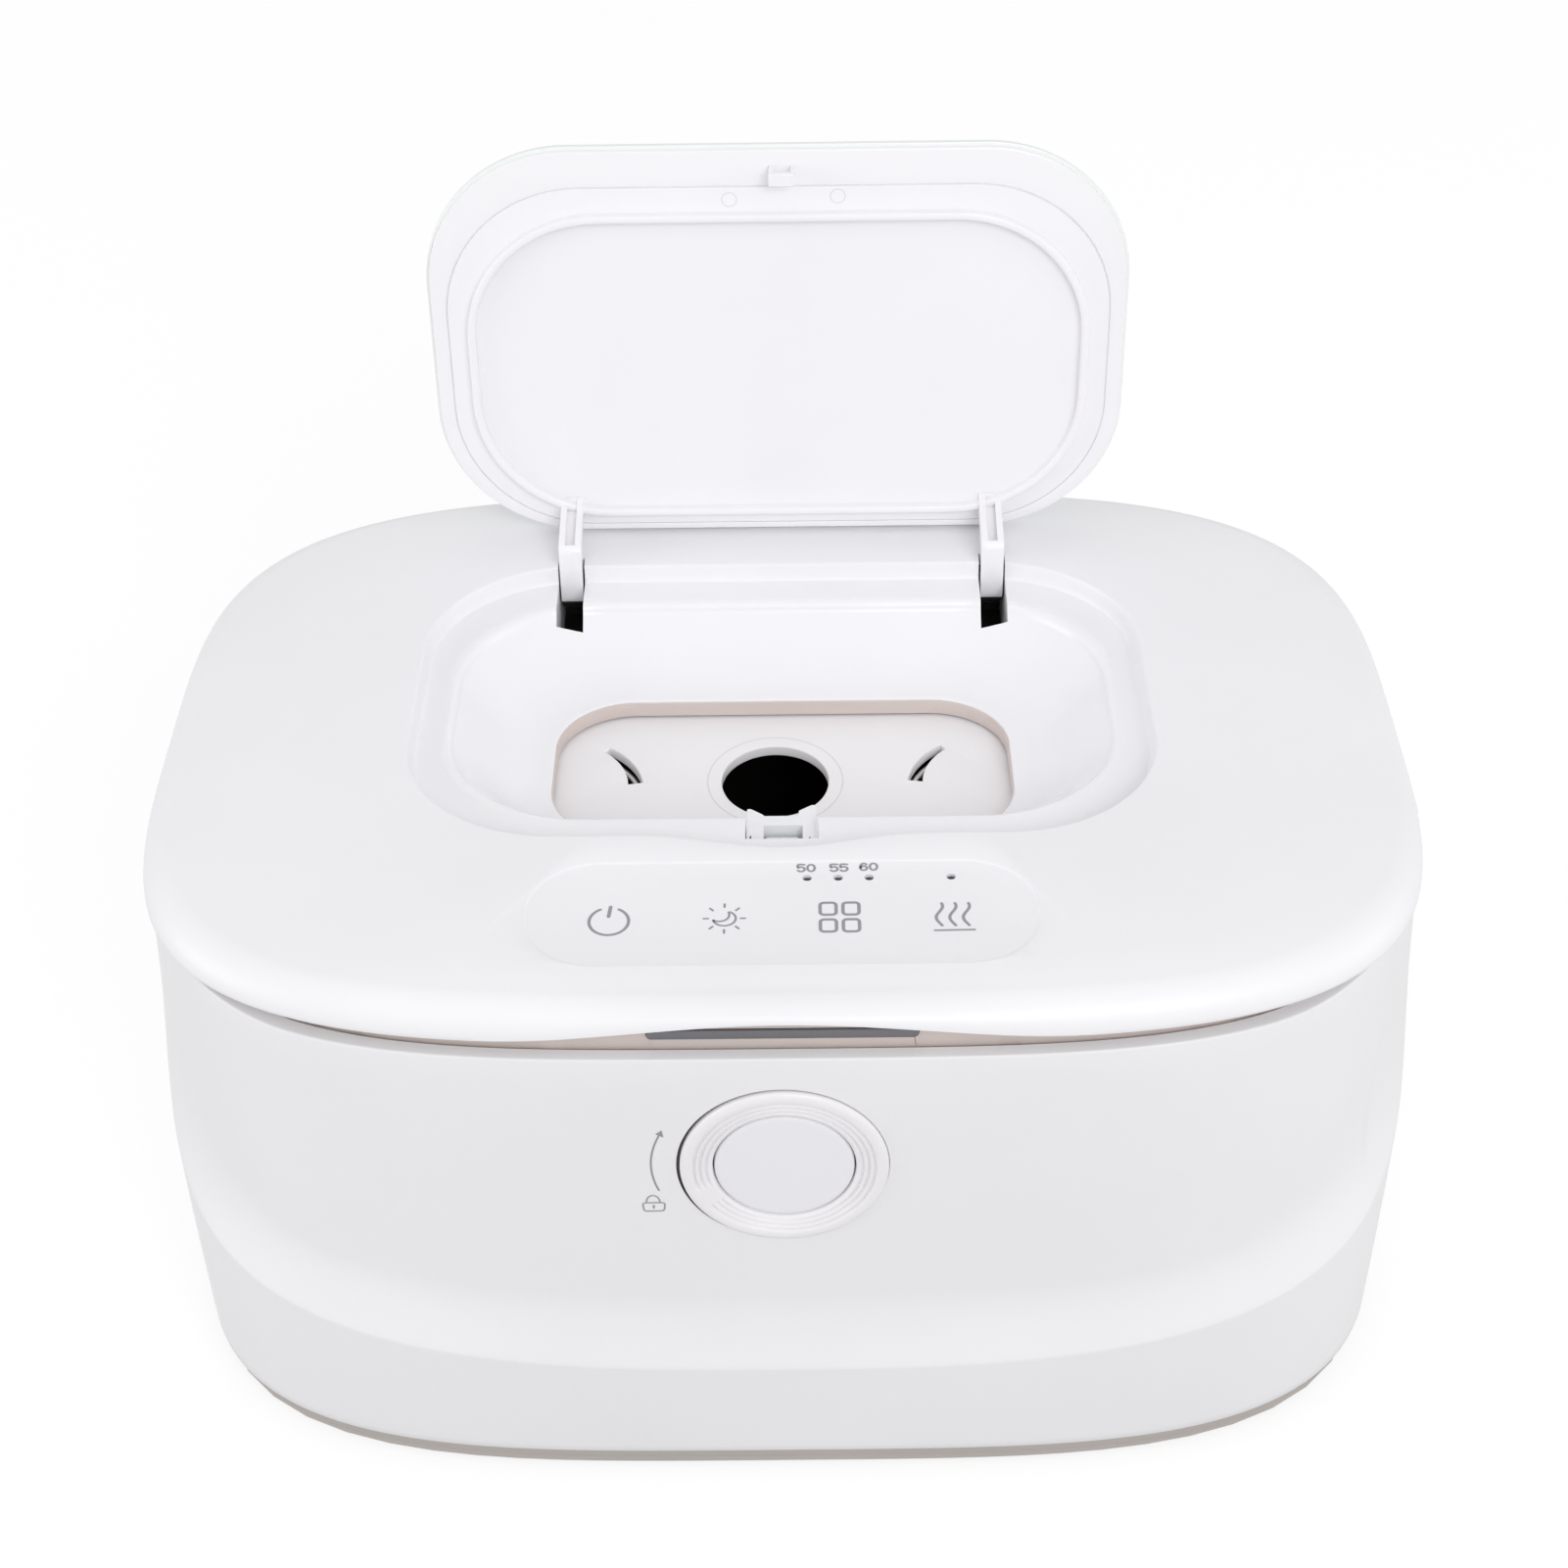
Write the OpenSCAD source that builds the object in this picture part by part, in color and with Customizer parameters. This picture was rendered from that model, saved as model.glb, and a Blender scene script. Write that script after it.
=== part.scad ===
// Baby wipe warmer: a tub with a hinged top cover, a flip lid over the dispensing
// bowl, a sprung lift plate under it and a lock ring round the front release button.
// Millimetres, X to the right, Y to the back, Z up, standing on its feet at Z = 0.
// The flip lid is drawn open, as it stands in use, and all the rest closed.

/* [Tub] */
// Width of the tub at its widest
body_w = 241; // [225:1:255]
// Depth of the tub before the front is scooped out
body_d = 178.8; // [172:0.2:190]
// How much narrower the tub is at its foot
taper_w = 1.9; // [0:0.1:5]
// How much shallower the tub is at its foot
taper_d = 11; // [4:0.5:14]
// Height of the tub's rim above the table
rim_z = 110.8; // [106:0.2:120]
// Height at which the tub is widest
belly_z = 84.5; // [70:0.5:95]
// How far the rim tucks in from the widest place
rim_tuck = 1.6; // [0:0.1:2.5]
// Wall thickness of the tub
wall = 2.2; // [1.8:0.1:2.6]
// Depth of the scooped front panel
panel_inset = 4; // [3:0.1:5]
// How much lower the rim is above the front panel
panel_drop = 3.4; // [2:0.1:5]
// Height of the crease below the scoop
crease_z = 30; // [22:0.5:38]
// Height of the slope from the crease up to the panel
ledge_h = 17.5; // [12:0.5:22]

/* [Base] */
// Height of the rubber feet
foot_h = 1.2; // [1:0.1:2]
// Radius of the rubber feet
foot_r = 8; // [6:0.5:10]
// Height of the pan's edge that shows under the tub
pan_edge_h = 4; // [3:0.1:6]
// How far the pan's edge stands back from the tub
pan_inset = 1.2; // [0.6:0.1:2]
// Thickness of the pan's floor
pan_floor = 2; // [1.6:0.1:2.4]
// Distance of the base screws from the tub's sides
screw_side = 24.5; // [23.5:0.5:27]
// Distance of the base screws from the tub's front and back
screw_front = 28.4; // [27.4:0.5:31]

/* [Tank] */
// Distance of the tank's side walls from the cover's edge
tank_side = 14; // [13.6:0.1:18]
// Distance of the tank's front and back walls from the cover's edge
tank_front = 16.4; // [15.8:0.1:19]
// Wall thickness of the tank
tank_t = 1.2; // [1:0.1:1.6]
// Height of the tank's underside
tank_z = 18; // [17:0.5:24]

/* [Top cover] */
// How far the cover stands in from the tub at each side
cover_side = 2.5; // [1.5:0.1:5]
// How far the cover stands in from the tub at the front and back
cover_front = 3; // [2:0.1:4]
// Gap between the tub's rim and the cover's edge
cover_gap = 0.9; // [0.6:0.1:1.4]
// Height of the cover from its edge to its flat top
cover_h = 7.3; // [7:0.1:9]
// Radius of the cover's upper edge
cover_edge_r = 6.2; // [5:0.1:6.6]
// Thickness of the cover
cover_t = 2.2; // [2:0.1:2.4]
// How far the front edge rises in its middle
wave_h = 4; // [1:0.1:4.2]
// Half the width of the raised part of the front edge
wave_half = 53; // [44:1:58]

/* [Bowl and lid seat] */
// Width of the lid's seat
seat_w = 141.2; // [139:0.2:143]
// Depth of the lid's seat, front to back
seat_d = 90.8; // [90.7:0.1:91.4]
// Corner radius of the seat
seat_r = 29.5; // [28:0.5:32]
// Middle of the seat, front to back
seat_y = 7.8; // [7.7:0.05:7.95]
// Depth of the seat under the cover's top
seat_sink = 3.8; // [3.6:0.1:4]
// Forward bulge of the seat round the latch
seat_bump = 3.8; // [2:0.1:4]
// Width of the bowl's rim
bowl_w = 127; // [126:0.5:128]
// Depth of the bowl's rim, front to back
bowl_d = 71.4; // [71.2:0.1:71.8]
// Corner radius of the bowl's rim
bowl_r = 27; // [26:0.5:28]
// Middle of the bowl's rim, front to back
bowl_y = 8.6; // [8.5:0.05:8.8]
// Width of the dispensing opening
opening_w = 89.8; // [86:0.2:92]
// Depth of the dispensing opening, front to back
opening_d = 45; // [43:0.2:47]
// Corner radius of the opening
opening_r = 15.5; // [13:0.5:18]
// Middle of the opening, front to back
opening_y = 4.9; // [4.2:0.1:5.2]
// Depth of the bowl's lip below the cover's top
lip_sink = 16; // [15.6:0.1:16.4]

/* [Control panel] */
// Width of the control panel
panel_w = 90; // [86:0.5:94]
// Depth of the control panel, front to back
panel_len = 28.6; // [27.6:0.2:29]
// Distance of the control panel from the front of the lid's seat
panel_gap = 4.2; // [3.6:0.1:4.8]
// Radius of the small lamp holes
led_r = 0.85; // [0.8:0.05:1.2]
// Spacing of the touch keys
key_pitch = 20; // [18:0.5:20.5]

/* [Flip lid] */
// Gap between the lid and its seat at each side
lid_gap = 0.9; // [0.8:0.1:1.2]
// Length of the lid, front to back
lid_d = 85.8; // [85.2:0.1:85.9]
// How far the lid is open
lid_open = 90; // [60:1:90]
// Distance of each lid arm from the middle
arm_x = 43.4; // [41:0.2:44.6]
// Width of a lid arm
arm_w = 4.6; // [4.4:0.1:5.2]
// Gap beside a lid arm in its hinge pocket
pocket_gap = 0.4; // [0.3:0.05:0.6]
// Radius of the lid's hinge pins
lid_pin_r = 1.5; // [1.2:0.1:1.8]
// Height of the rib under the lid
rib_h = 2; // [1.4:0.1:2.1]

/* [Lift plate] */
// Gap between the lift plate and the tank's sides, walls included
plate_side = 12; // [10:0.5:16]
// Gap between the lift plate and the tank's front, walls included
plate_front = 22; // [20:0.5:24]
// Thickness of the lift plate
plate_t = 2.4; // [2:0.1:3]
// Half width of the plate's hole
plate_hole_r = 10.5; // [9:0.1:11]
// How much deeper than wide the hole is
plate_hole_ratio = 1.1; // [1:0.02:1.14]
// Sideways play by which the plate lies off the middle
plate_play = 1.5; // [0:0.1:2]
// Travel of the lift plate
plate_travel = 55; // [40:1:55]
// Distance between the two lift springs
spring_pitch = 86.2; // [80:0.2:92]
// Middle radius of the lift springs
spring_r = 16.9; // [15:0.1:18.6]
// Wire diameter of the lift springs
wire_d = 1.8; // [1.4:0.1:1.9]
// Number of turns of a lift spring
spring_turns = 9; // [6:1:9]

/* [Front lock] */
// Height of the lock ring's middle
ring_z = 81.6; // [80:0.2:83]
// Outer radius of the lock ring
ring_r = 18.4; // [18:0.1:20]
// Radius of the release button
button_r = 12.2; // [11.8:0.1:12.4]
// Gap between the button and the ring
button_gap = 0.4; // [0.3:0.05:0.6]
// How far the ring stands out of the panel
ring_h = 1; // [0.8:0.1:1.6]
// Travel of the release button
button_travel = 2; // [1.5:0.1:2.2]

/* [Rear] */
// Radius of the cover hinge's pins
hinge_pin_r = 1.25; // [1:0.05:1.5]
// Radius of the cover hinge's knuckles
knuckle_r = 3.6; // [3.4:0.1:3.8]
// Distance of each cover hinge from the middle
hinge_x = 45; // [40:0.5:60]
// Distance of the power inlet from the middle
jack_x = 78; // [60:1:80]
// Radius of the power inlet's bore
jack_r = 2.75; // [2.5:0.05:3]

/* [Hidden] */
$fn = 48;

// Columns round the moulded skins
cols = 88;
// Corner exponent of the plan outline, and its change from side to front
corner_n = 3.62;
corner_dn = 0.15;
// Angles from the front at which the scoop's crease and its panel end
crease_angle = 80;
panel_angle = 62;
// Corner exponents of the scoop's crease and of its panel
crease_n = 2.85;
panel_n = 4.8;
// Small clearances: between bodies that move, for running pins, and for parts set in holes
gap = 0.3;
pin_gap = 0.05;
fit_gap = 0.1;
tiny = 0.01;

shell_z = foot_h + pan_edge_h;
cover_w = body_w - 2*cover_side;
cover_d = body_d - 2*cover_front;
tank_w = cover_w - 2*tank_side;
tank_d = cover_d - 2*tank_front;
plate_w = tank_w - 2*plate_side;
plate_d = tank_d - 2*plate_front;
screw_x = body_w/2 - screw_side;
screw_y = body_d/2 - screw_front;
cover_z = rim_z + cover_gap;
top_z = cover_z + cover_h;
dome_h = 0.5;
under_z = top_z - cover_t - 0.4;
seat_z = top_z - seat_sink;
bowl_z = seat_z - 0.6;
lip_z = top_z - lip_sink;
lip_t = 1.4;
lip_edge = 0.5;
web_t = 1.8;
web_z = lip_z - lip_t - 2.2;
web_top = web_z + web_t;
skirt_inset = 4.5;
skirt_t = 2;

flange_z = web_z - 3;
flange_t = 1.5;
flange_inset = 10.2;
tank_floor = tank_z + tank_t;

hinge_y = cover_d/2 + 4;
hinge_z = cover_z - 1.7;

lid_w = seat_w - 2*lid_gap;
lid_r = seat_r - 0.5;
lid_pivot_y = 59.1;
lid_pivot_z = top_z - 10;
lid_back = seat_y + seat_d/2 - 4.5;
lid_y = lid_back - lid_d/2;
lid_t = 3.4;
lid_face_z = top_z - lid_t;
liner_z = lid_face_z + 0.3;
rib_t = 1.6;
rib_w = bowl_w - 2.8;
rib_d = bowl_d - 3.7;
rib_y = bowl_y + 1.25;
arm_ring_r = 3.2;
pocket_w = arm_w + 2*pocket_gap;
pocket_front = 40.7;
pocket_back = 56.3;

plate_y = 3.6;
plate_x = -plate_play;
plate_top = web_z - 0.5;
plate_z = plate_top - plate_t;

panel_surface = -(wall_b(ring_z) - panel_inset);
ring_tilt = atan((wall_b(ring_z + 15) - wall_b(ring_z - 15))/30);
collar_r = button_r + button_gap + 2.6;
ring_hole_r = collar_r + gap;
ring_sink = 0.8;
ring_room = 0.4;
flange_r = collar_r - 1.6;
button_back = -(wall + 1.7);
button_face = ring_h - 0.7;
hook_y = panel_surface + 7;
hook_z = ring_z + 5.8;
latch_y = -30.6;
latch_top = seat_z - 1.6;
hook_len = 4.2;
seat_front = seat_y - seat_d/2 - seat_bump;
panel_y = seat_front - panel_gap - panel_len/2;
board_d = 24;
board_y = seat_front - 5.8 - board_d/2;
lead_row_y = seat_front - 8.9;
key_row_y = panel_y - 1.6;

// Plan outline of the tub and its cover: a rounded rectangle with bowed sides
function outline_r(phi, a, b) =
    let (n = corner_n + corner_dn*cos(phi))
    pow(pow(abs(sin(phi))/a, n) + pow(abs(cos(phi))/b, n), -1/n);
function outline_pt(phi, a, b, z) =
    let (r = outline_r(phi, a, b))
    [r*sin(phi), -r*cos(phi), z];
function outline_poly(a, b) = [
    for (i = [0:cols - 1])
        let (p = outline_pt(360*i/cols, a, b, 0))
        [p[0], p[1]]
];
function cover_poly(inset) = outline_poly(cover_w/2 - inset, cover_d/2 - inset);

// Rounded rectangle in polar form, for skins that loft between outlines
function rrect_r(phi, a, b, r) =
    let (sx = abs(sin(phi)), sy = abs(cos(phi)), d = (a - r)*sx + (b - r)*sy)
    a*sy <= (b - r)*sx ? a/sx :
    b*sx <= (a - r)*sy ? b/sy :
    d + sqrt(d*d - pow(a - r, 2) - pow(b - r, 2) + r*r);
function rrect_pt(phi, w, d, r, yc, z) =
    let (q = rrect_r(phi, w/2, d/2, r))
    [q*sin(phi), yc - q*cos(phi), z];

function smooth(t) =
    let (s = min(1, max(0, t)))
    s*s*(3 - 2*s);
function fold(phi) = phi > 180 ? 360 - phi : phi;
function corner_sum(u, v, p) = pow(pow(max(0, u), p) + pow(max(0, v), p), 1/p);

// Half width and half depth of the tub's wall at a height
function wall_a(z) =
    body_w/2 - taper_w/2*pow(max(0, 1 - (z - shell_z)/(belly_z - shell_z)), 2.6);
function wall_b(z) =
    body_d/2 - taper_d/2*pow(max(0, 1 - (z - shell_z)/(rim_z - 6.8 - shell_z)), 1.3);

// Share of the scoop at a place on the wall: 0 below the crease, 1 on the panel
function scoop(phi, z) =
    let (
        f = fold(phi),
        down = rim_z - z,
        s_out = corner_sum(f/crease_angle, down/(rim_z - crease_z), crease_n),
        s_in = corner_sum(f/panel_angle, down/(rim_z - crease_z - ledge_h), panel_n)
    )
    s_out >= 1 ? 0 : s_in <= 1 ? 1 : (1 - s_out)/(s_in - s_out);
function body_pt(phi, z, depth) =
    let (
        g = scoop(phi, z),
        tuck = rim_tuck*pow(max(0, (z - belly_z)/(rim_z - belly_z)), 2),
        i = panel_inset*(1 - pow(1 - g, 2)) + tuck*(1 - g) + depth
    )
    outline_pt(phi, wall_a(z) - i, wall_b(z) - i, z);

// Heights that the tub's rows follow round the outline
function arch(f, width, height, p) =
    f >= width ? rim_z : rim_z - height*pow(1 - pow(f/width, p), 1/p);
function crease_at(phi) =
    min(rim_z - 14, arch(fold(phi), crease_angle, rim_z - crease_z, crease_n));
function panel_at(phi) =
    max(
        crease_at(phi) + 4,
        min(rim_z - 9, arch(fold(phi), panel_angle, rim_z - crease_z - ledge_h, panel_n))
    );
function rim_at(phi) = rim_z - panel_drop*(1 - smooth((fold(phi) - 48)/16));

// A skin swept round the outline: rows of points, closed both ways
function skin_faces(rows, n) = [
    for (k = [0:rows - 1], i = [0:n - 1])
        let (
            a = k*n + i,
            b = k*n + (i + 1)%n,
            c = ((k + 1)%rows)*n + i,
            d = ((k + 1)%rows)*n + (i + 1)%n
        )
        each [[a, c, d], [a, d, b]]
];
module ring_skin(rows) {
    polyhedron(
        points = [for (row = rows) each row],
        faces = skin_faces(len(rows), len(rows[0]))
    );
}

// The part's origin is the middle of its box, so every piece moves forward a little
front_y = -cover_d/2;
back_y = hinge_y + knuckle_r;
frame_y = -(front_y + back_y)/2;
module place() {
    translate([0, frame_y, 0])
        children();
}
module rrect(w, d, r) {
    square([w - 2*r, d], center = true);
    square([w, d - 2*r], center = true);
    for (x = [-1, 1], y = [-1, 1])
        translate([x*(w/2 - r), y*(d/2 - r)])
            circle(r = r);
}
module slab(w, d, r, z0, z1) {
    translate([0, 0, z0])
        linear_extrude(z1 - z0)
            rrect(w, d, r);
}
module outline_slab(inset, z0, z1) {
    translate([0, 0, z0])
        linear_extrude(z1 - z0)
            polygon(cover_poly(inset));
}
module block(x0, x1, y0, y1, z0, z1) {
    translate([x0, y0, z0])
        cube([x1 - x0, y1 - y0, z1 - z0]);
}
module peg(r, z0, z1) {
    translate([0, 0, z0])
        cylinder(r = r, h = z1 - z0);
}
module tube(r_out, r_in, z0, z1) {
    difference() {
        peg(r_out, z0, z1);
        peg(r_in, z0 - 1, z1 + 1);
    }
}
module four(x, y) {
    for (sx = [-1, 1], sy = [-1, 1])
        translate([sx*x, sy*y, 0])
            children();
}
module along_x(x0, x1, y, z, r) {
    translate([x0, y, z])
        rotate([0, 90, 0])
            cylinder(r = r, h = x1 - x0);
}

// Frame of the front lock: its Z points straight out of the tilted panel
module on_panel() {
    translate([0, panel_surface, ring_z])
        rotate([90 + ring_tilt, 0, 0])
            children();
}
// The lid group is drawn closed and turned open about its hinge
module lid_pose() {
    translate([0, lid_pivot_y, lid_pivot_z])
        rotate([-lid_open, 0, 0])
            translate([0, -lid_pivot_y, -lid_pivot_z])
                children();
}

ledge_z = flange_z;
ledge_inset = flange_inset + 1.8;
ledge_front = -(wall_b(ledge_z) - panel_inset) + wall + fit_gap;
module body_shell() {
    angles = [for (i = [0:cols - 1]) 360*i/cols];
    outer_low = [for (t = [0, 0.04, 0.4, 0.8, 1]) [
        for (p = angles)
            body_pt(p, shell_z + (crease_at(p) - shell_z)*t, t == 0 ? 0.5 : 0)
    ]];
    outer_mid = [for (t = [0.2, 0.45, 0.7, 1]) [
        for (p = angles)
            body_pt(p, crease_at(p) + (panel_at(p) - crease_at(p))*t, 0)
    ]];
    outer_top = [for (t = [0.4, 0.8, 0.97]) [
        for (p = angles)
            body_pt(p, panel_at(p) + (rim_at(p) - panel_at(p))*t, 0)
    ]];
    rim = [
        [for (p = angles) body_pt(p, rim_at(p), 0.5)],
        [for (p = angles) body_pt(p, rim_at(p), wall)]
    ];
    ledge = [
        [for (p = angles) body_pt(p, ledge_z, wall)],
        [for (p = angles) outline_pt(
            p, cover_w/2 - ledge_inset, cover_d/2 - ledge_inset, ledge_z)],
        [for (p = angles) outline_pt(
            p, cover_w/2 - ledge_inset, cover_d/2 - ledge_inset, ledge_z - 2)],
        [for (p = angles) body_pt(p, ledge_z - 3, wall)]
    ];
    inner = [
        [for (p = angles) body_pt(p, min(panel_at(p), ledge_z - 14), wall)],
        [for (p = angles) body_pt(p, min(crease_at(p), ledge_z - 24), wall)],
        [for (p = angles) body_pt(p, shell_z, wall)]
    ];
    color("white")
        place()
            difference() {
                union() {
                    ring_skin(concat(outer_low, outer_mid, outer_top, rim, ledge, inner));
                    screw_bosses();
                    hinge_lugs();
                }
                on_panel() {
                    peg(ring_hole_r, -wall - 4, 6);
                    // Shallow recess that takes the ring's flange
                    peg(ring_r + ring_room, -ring_sink - gap, 6);
                }
                // Room for the lock behind the panel
                block(-24, 24, ledge_front, -60, ledge_z - 4, ledge_z + 1);
                // Notches for the cover's knuckles
                for (s = [-1, 1])
                    block(s*hinge_x - 5.2, s*hinge_x + 5.2, cover_d/2 - 4, cover_d/2 + 8,
                        hinge_z - knuckle_r - 0.8, rim_z + 1);
                for (s = [-1, 1])
                    along_x(s*hinge_x - 12, s*hinge_x + 12, hinge_y, hinge_z, hinge_pin_r);
                four(screw_x, screw_y)
                    peg(1.3, shell_z - 1, shell_z + 14);
                // Opening for the power inlet
                translate([jack_x, 0, jack_z])
                    rotate([-90, 0, 0])
                        cylinder(r = jack_r + 1.6, h = body_d);
            }
}
module screw_bosses() {
    four(screw_x, screw_y)
        peg(4.5, shell_z + 4, shell_z + 18);
    // Webs out to the tub's corners
    intersection() {
        translate([0, 0, shell_z + 4])
            linear_extrude(14)
                polygon(outline_poly(
                    wall_a(shell_z + 4) - wall*0.35, wall_b(shell_z + 4) - wall*0.35));
        for (sx = [-1, 1], sy = [-1, 1])
            translate([sx*screw_x, sy*screw_y, shell_z + 3])
                rotate([0, 0, atan2(sy, sx)])
                    translate([2, -1, 0])
                        cube([30, 2, 16]);
    }
}
module hinge_lugs() {
    for (s = [-1, 1], e = [-1, 1])
        translate([s*hinge_x + e*8.5, 0, 0]) {
            along_x(-3, 3, hinge_y, hinge_z, knuckle_r);
            translate([-3, 0, hinge_z - 9])
                rotate([90, 0, 90])
                    linear_extrude(6)
                        polygon([
                            [hinge_y - knuckle_r - 3, 0],
                            [hinge_y - knuckle_r + 1.4, 0],
                            [hinge_y + knuckle_r, 9],
                            [hinge_y - knuckle_r, 9],
                            [hinge_y - knuckle_r - 3, 6]
                        ]);
        }
}

pan_top = shell_z + 2.8;
floor_z = foot_h + pan_floor;
module base_pan() {
    color("tan")
        place()
            difference() {
                union() {
                    translate([0, 0, foot_h])
                        linear_extrude(pan_edge_h)
                            polygon(outline_poly(
                                wall_a(shell_z) - pan_inset, wall_b(shell_z) - pan_inset));
                    translate([0, 0, foot_h])
                        linear_extrude(pan_top - foot_h)
                            polygon(outline_poly(
                                wall_a(shell_z) - wall - 1.2, wall_b(shell_z) - wall - 1.2));
                }
                translate([0, 0, floor_z])
                    linear_extrude(pan_top)
                        polygon(outline_poly(
                            wall_a(shell_z) - wall - 3.2, wall_b(shell_z) - wall - 3.2));
                four(foot_x, foot_y)
                    peg(foot_r + 0.2, foot_h - 1, foot_h + 0.8);
                four(screw_x, screw_y) {
                    peg(1.7, 0, pan_top);
                    peg(3.2, 0, foot_h + 1);
                }
                translate([-40, -16, 0])
                    for (i = [0:5])
                        block(i*16 - 1, i*16 + 1, -10, 10, foot_h - 1, floor_z + 1);
            }
    color("tan")
        place()
            pan_posts();
}
foot_x = screw_x - 20;
foot_y = screw_y - 11;
board_z = floor_z + 3.4;
board_cx = 62;
board_cy = 28;
board_t = 1.6;
jack_z = board_z + board_t + 4.6;
module pan_posts() {
    translate([board_cx, board_cy, 0])
        four(24, 16)
            peg(2.4, floor_z - 0.2, board_z);
    // Posts that carry the tank's floor
    four(28, 48)
        peg(3.5, floor_z - 0.2, tank_z);
    // Spigots that centre the screw bosses
    four(screw_x, screw_y)
        tube(4.2, 1.7, floor_z - 0.2, shell_z + 4);
}
module rubber_feet() {
    color("dimgray")
        place()
            four(foot_x, foot_y)
                peg(foot_r, 0, foot_h + 0.8);
}
module base_screws() {
    color("silver")
        place()
            four(screw_x, screw_y) {
                peg(1.3, foot_h + 0.6, shell_z + 13);
                peg(2.8, foot_h - 0.6, foot_h + 1);
            }
}

module inner_tank() {
    color([0.1, 0.1, 0.1])
        place() {
            difference() {
                union() {
                    translate([0, 0, tank_z])
                        linear_extrude(flange_z + flange_t - tank_z)
                            polygon(outline_poly(tank_w/2, tank_d/2));
                    outline_slab(flange_inset, flange_z, flange_z + flange_t);
                }
                translate([0, 0, tank_floor])
                    linear_extrude(flange_z)
                        polygon(outline_poly(tank_w/2 - tank_t, tank_d/2 - tank_t));
                // Room for the lock at the front
                block(-24, 24, -body_d, -tank_d/2 - 3, flange_z - 1, flange_z + 3);
            }
            for (s = [-1, 1])
                translate([plate_x + s*spring_pitch/2, spring_y, 0])
                    peg(spring_r - wire_d/2 - 1.5, tank_floor - tiny, tank_floor + 3);
        }
}
module heater_film() {
    color("goldenrod")
        place()
            slab(tank_w - 76, tank_d - 64, 12, tank_z - 0.8, tank_z);
}
module insulation_pad() {
    color("gray")
        place()
            difference() {
                slab(tank_w - 80, tank_d - 68, 10, tank_z - 3.2, tank_z - 0.8);
                translate([-30, 0, 0])
                    block(-7, 7, -2.4, 2.4, 0, tank_z);
                translate([20, 0, 0])
                    block(-4, 4, -3, 3, 0, tank_z);
            }
}
module temp_sensor() {
    color("black")
        place()
            translate([20, 0, 0])
                peg(2.2, tank_z - 3.2, tank_z - 0.8);
}
module thermal_fuse() {
    color("white")
        place()
            along_x(-36, -24, 0, tank_z - 2.1, 1.2);
}
module power_board() {
    color("darkgreen")
        place()
            translate([board_cx, board_cy, 0])
                difference() {
                    slab(56, 40, 1.5, board_z, board_z + board_t);
                    four(24, 16)
                        peg(1.1, 0, board_z + 5);
                }
}
module board_parts() {
    top = board_z + board_t;
    color("black")
        place()
            translate([board_cx, board_cy, 0]) {
                block(-20, -8, -10, 4, top, top + 5.4);
                block(-20, -10, 8, 13, top, top + 2);
                translate([2, 4, 0])
                    peg(3.5, top, top + 5.6);
                translate([2, -8, 0])
                    peg(3, top, top + 5);
                block(-5, 7, -17, -12, top, top + 1.6);
            }
}
jack_front = board_cy + 6;
function wall_back(x, z) =
    let (n = corner_n - corner_dn)
    wall_b(z)*pow(1 - pow(x/wall_a(z), n), 1/n);
jack_face = wall_back(jack_x + jack_r + 2, jack_z) - 0.8;
module dc_jack() {
    color([0.15, 0.15, 0.15])
        place()
            translate([jack_x, 0, 0]) {
                difference() {
                    union() {
                        block(-4.5, 4.5, jack_front, jack_face - 4, jack_z - 4.6, jack_z + 4.4);
                        translate([0, jack_face - 4 - tiny, jack_z])
                            rotate([-90, 0, 0])
                                cylinder(r = jack_r + 1.3, h = 4 + tiny);
                    }
                    translate([0, jack_face - 9.5, jack_z])
                        rotate([-90, 0, 0])
                            cylinder(r = jack_r, h = 12);
                }
                translate([0, jack_face - 10, jack_z])
                    rotate([-90, 0, 0])
                        cylinder(r = 1, h = 9);
            }
}
module cover_hinge_pins() {
    color("silver")
        place()
            for (s = [-1, 1])
                along_x(s*hinge_x - 11.3, s*hinge_x + 11.3, hinge_y, hinge_z, hinge_pin_r);
}

retainer_r = ring_r + 2.4;
bridge_z = button_back - 1.3 - 3 - button_travel - 0.5;
module ring_retainer() {
    color("white")
        place()
            on_panel()
                difference() {
                    union() {
                        tube(retainer_r, ring_hole_r, -wall - 1.9, -wall - 0.3);
                        for (s = [-1, 1])
                            block(s*17.2 - 1.2, s*17.2 + 1.2, -3.5, 3.5,
                                bridge_z - 1.2, -wall - 1.2);
                        block(-18.4, 18.4, -3.5, 3.5, bridge_z - 1.2, bridge_z);
                    }
                    // Way for the cover's hook, and room under the cover
                    block(-8.5, 8.5, 8, retainer_r + 1, -8, 0);
                    block(-30, 30, web_z - ring_z - 0.9, retainer_r + 1, -8, 0);
                    for (a = retainer_angles)
                        rotate([0, 0, a])
                            translate([screw_ring_r, 0, -8])
                                cylinder(r = 1, h = 8);
                }
}
retainer_angles = [30, 150, 240, 300];
screw_ring_r = (retainer_r + ring_hole_r)/2;
module retainer_screws() {
    color("silver")
        place()
            on_panel()
                for (a = retainer_angles)
                    rotate([0, 0, a])
                        translate([screw_ring_r, 0, 0]) {
                            peg(1, -wall - 2, -wall - 0.35);
                            peg(1.9, -wall - 3.1, -wall - 1.9);
                        }
}

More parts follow.
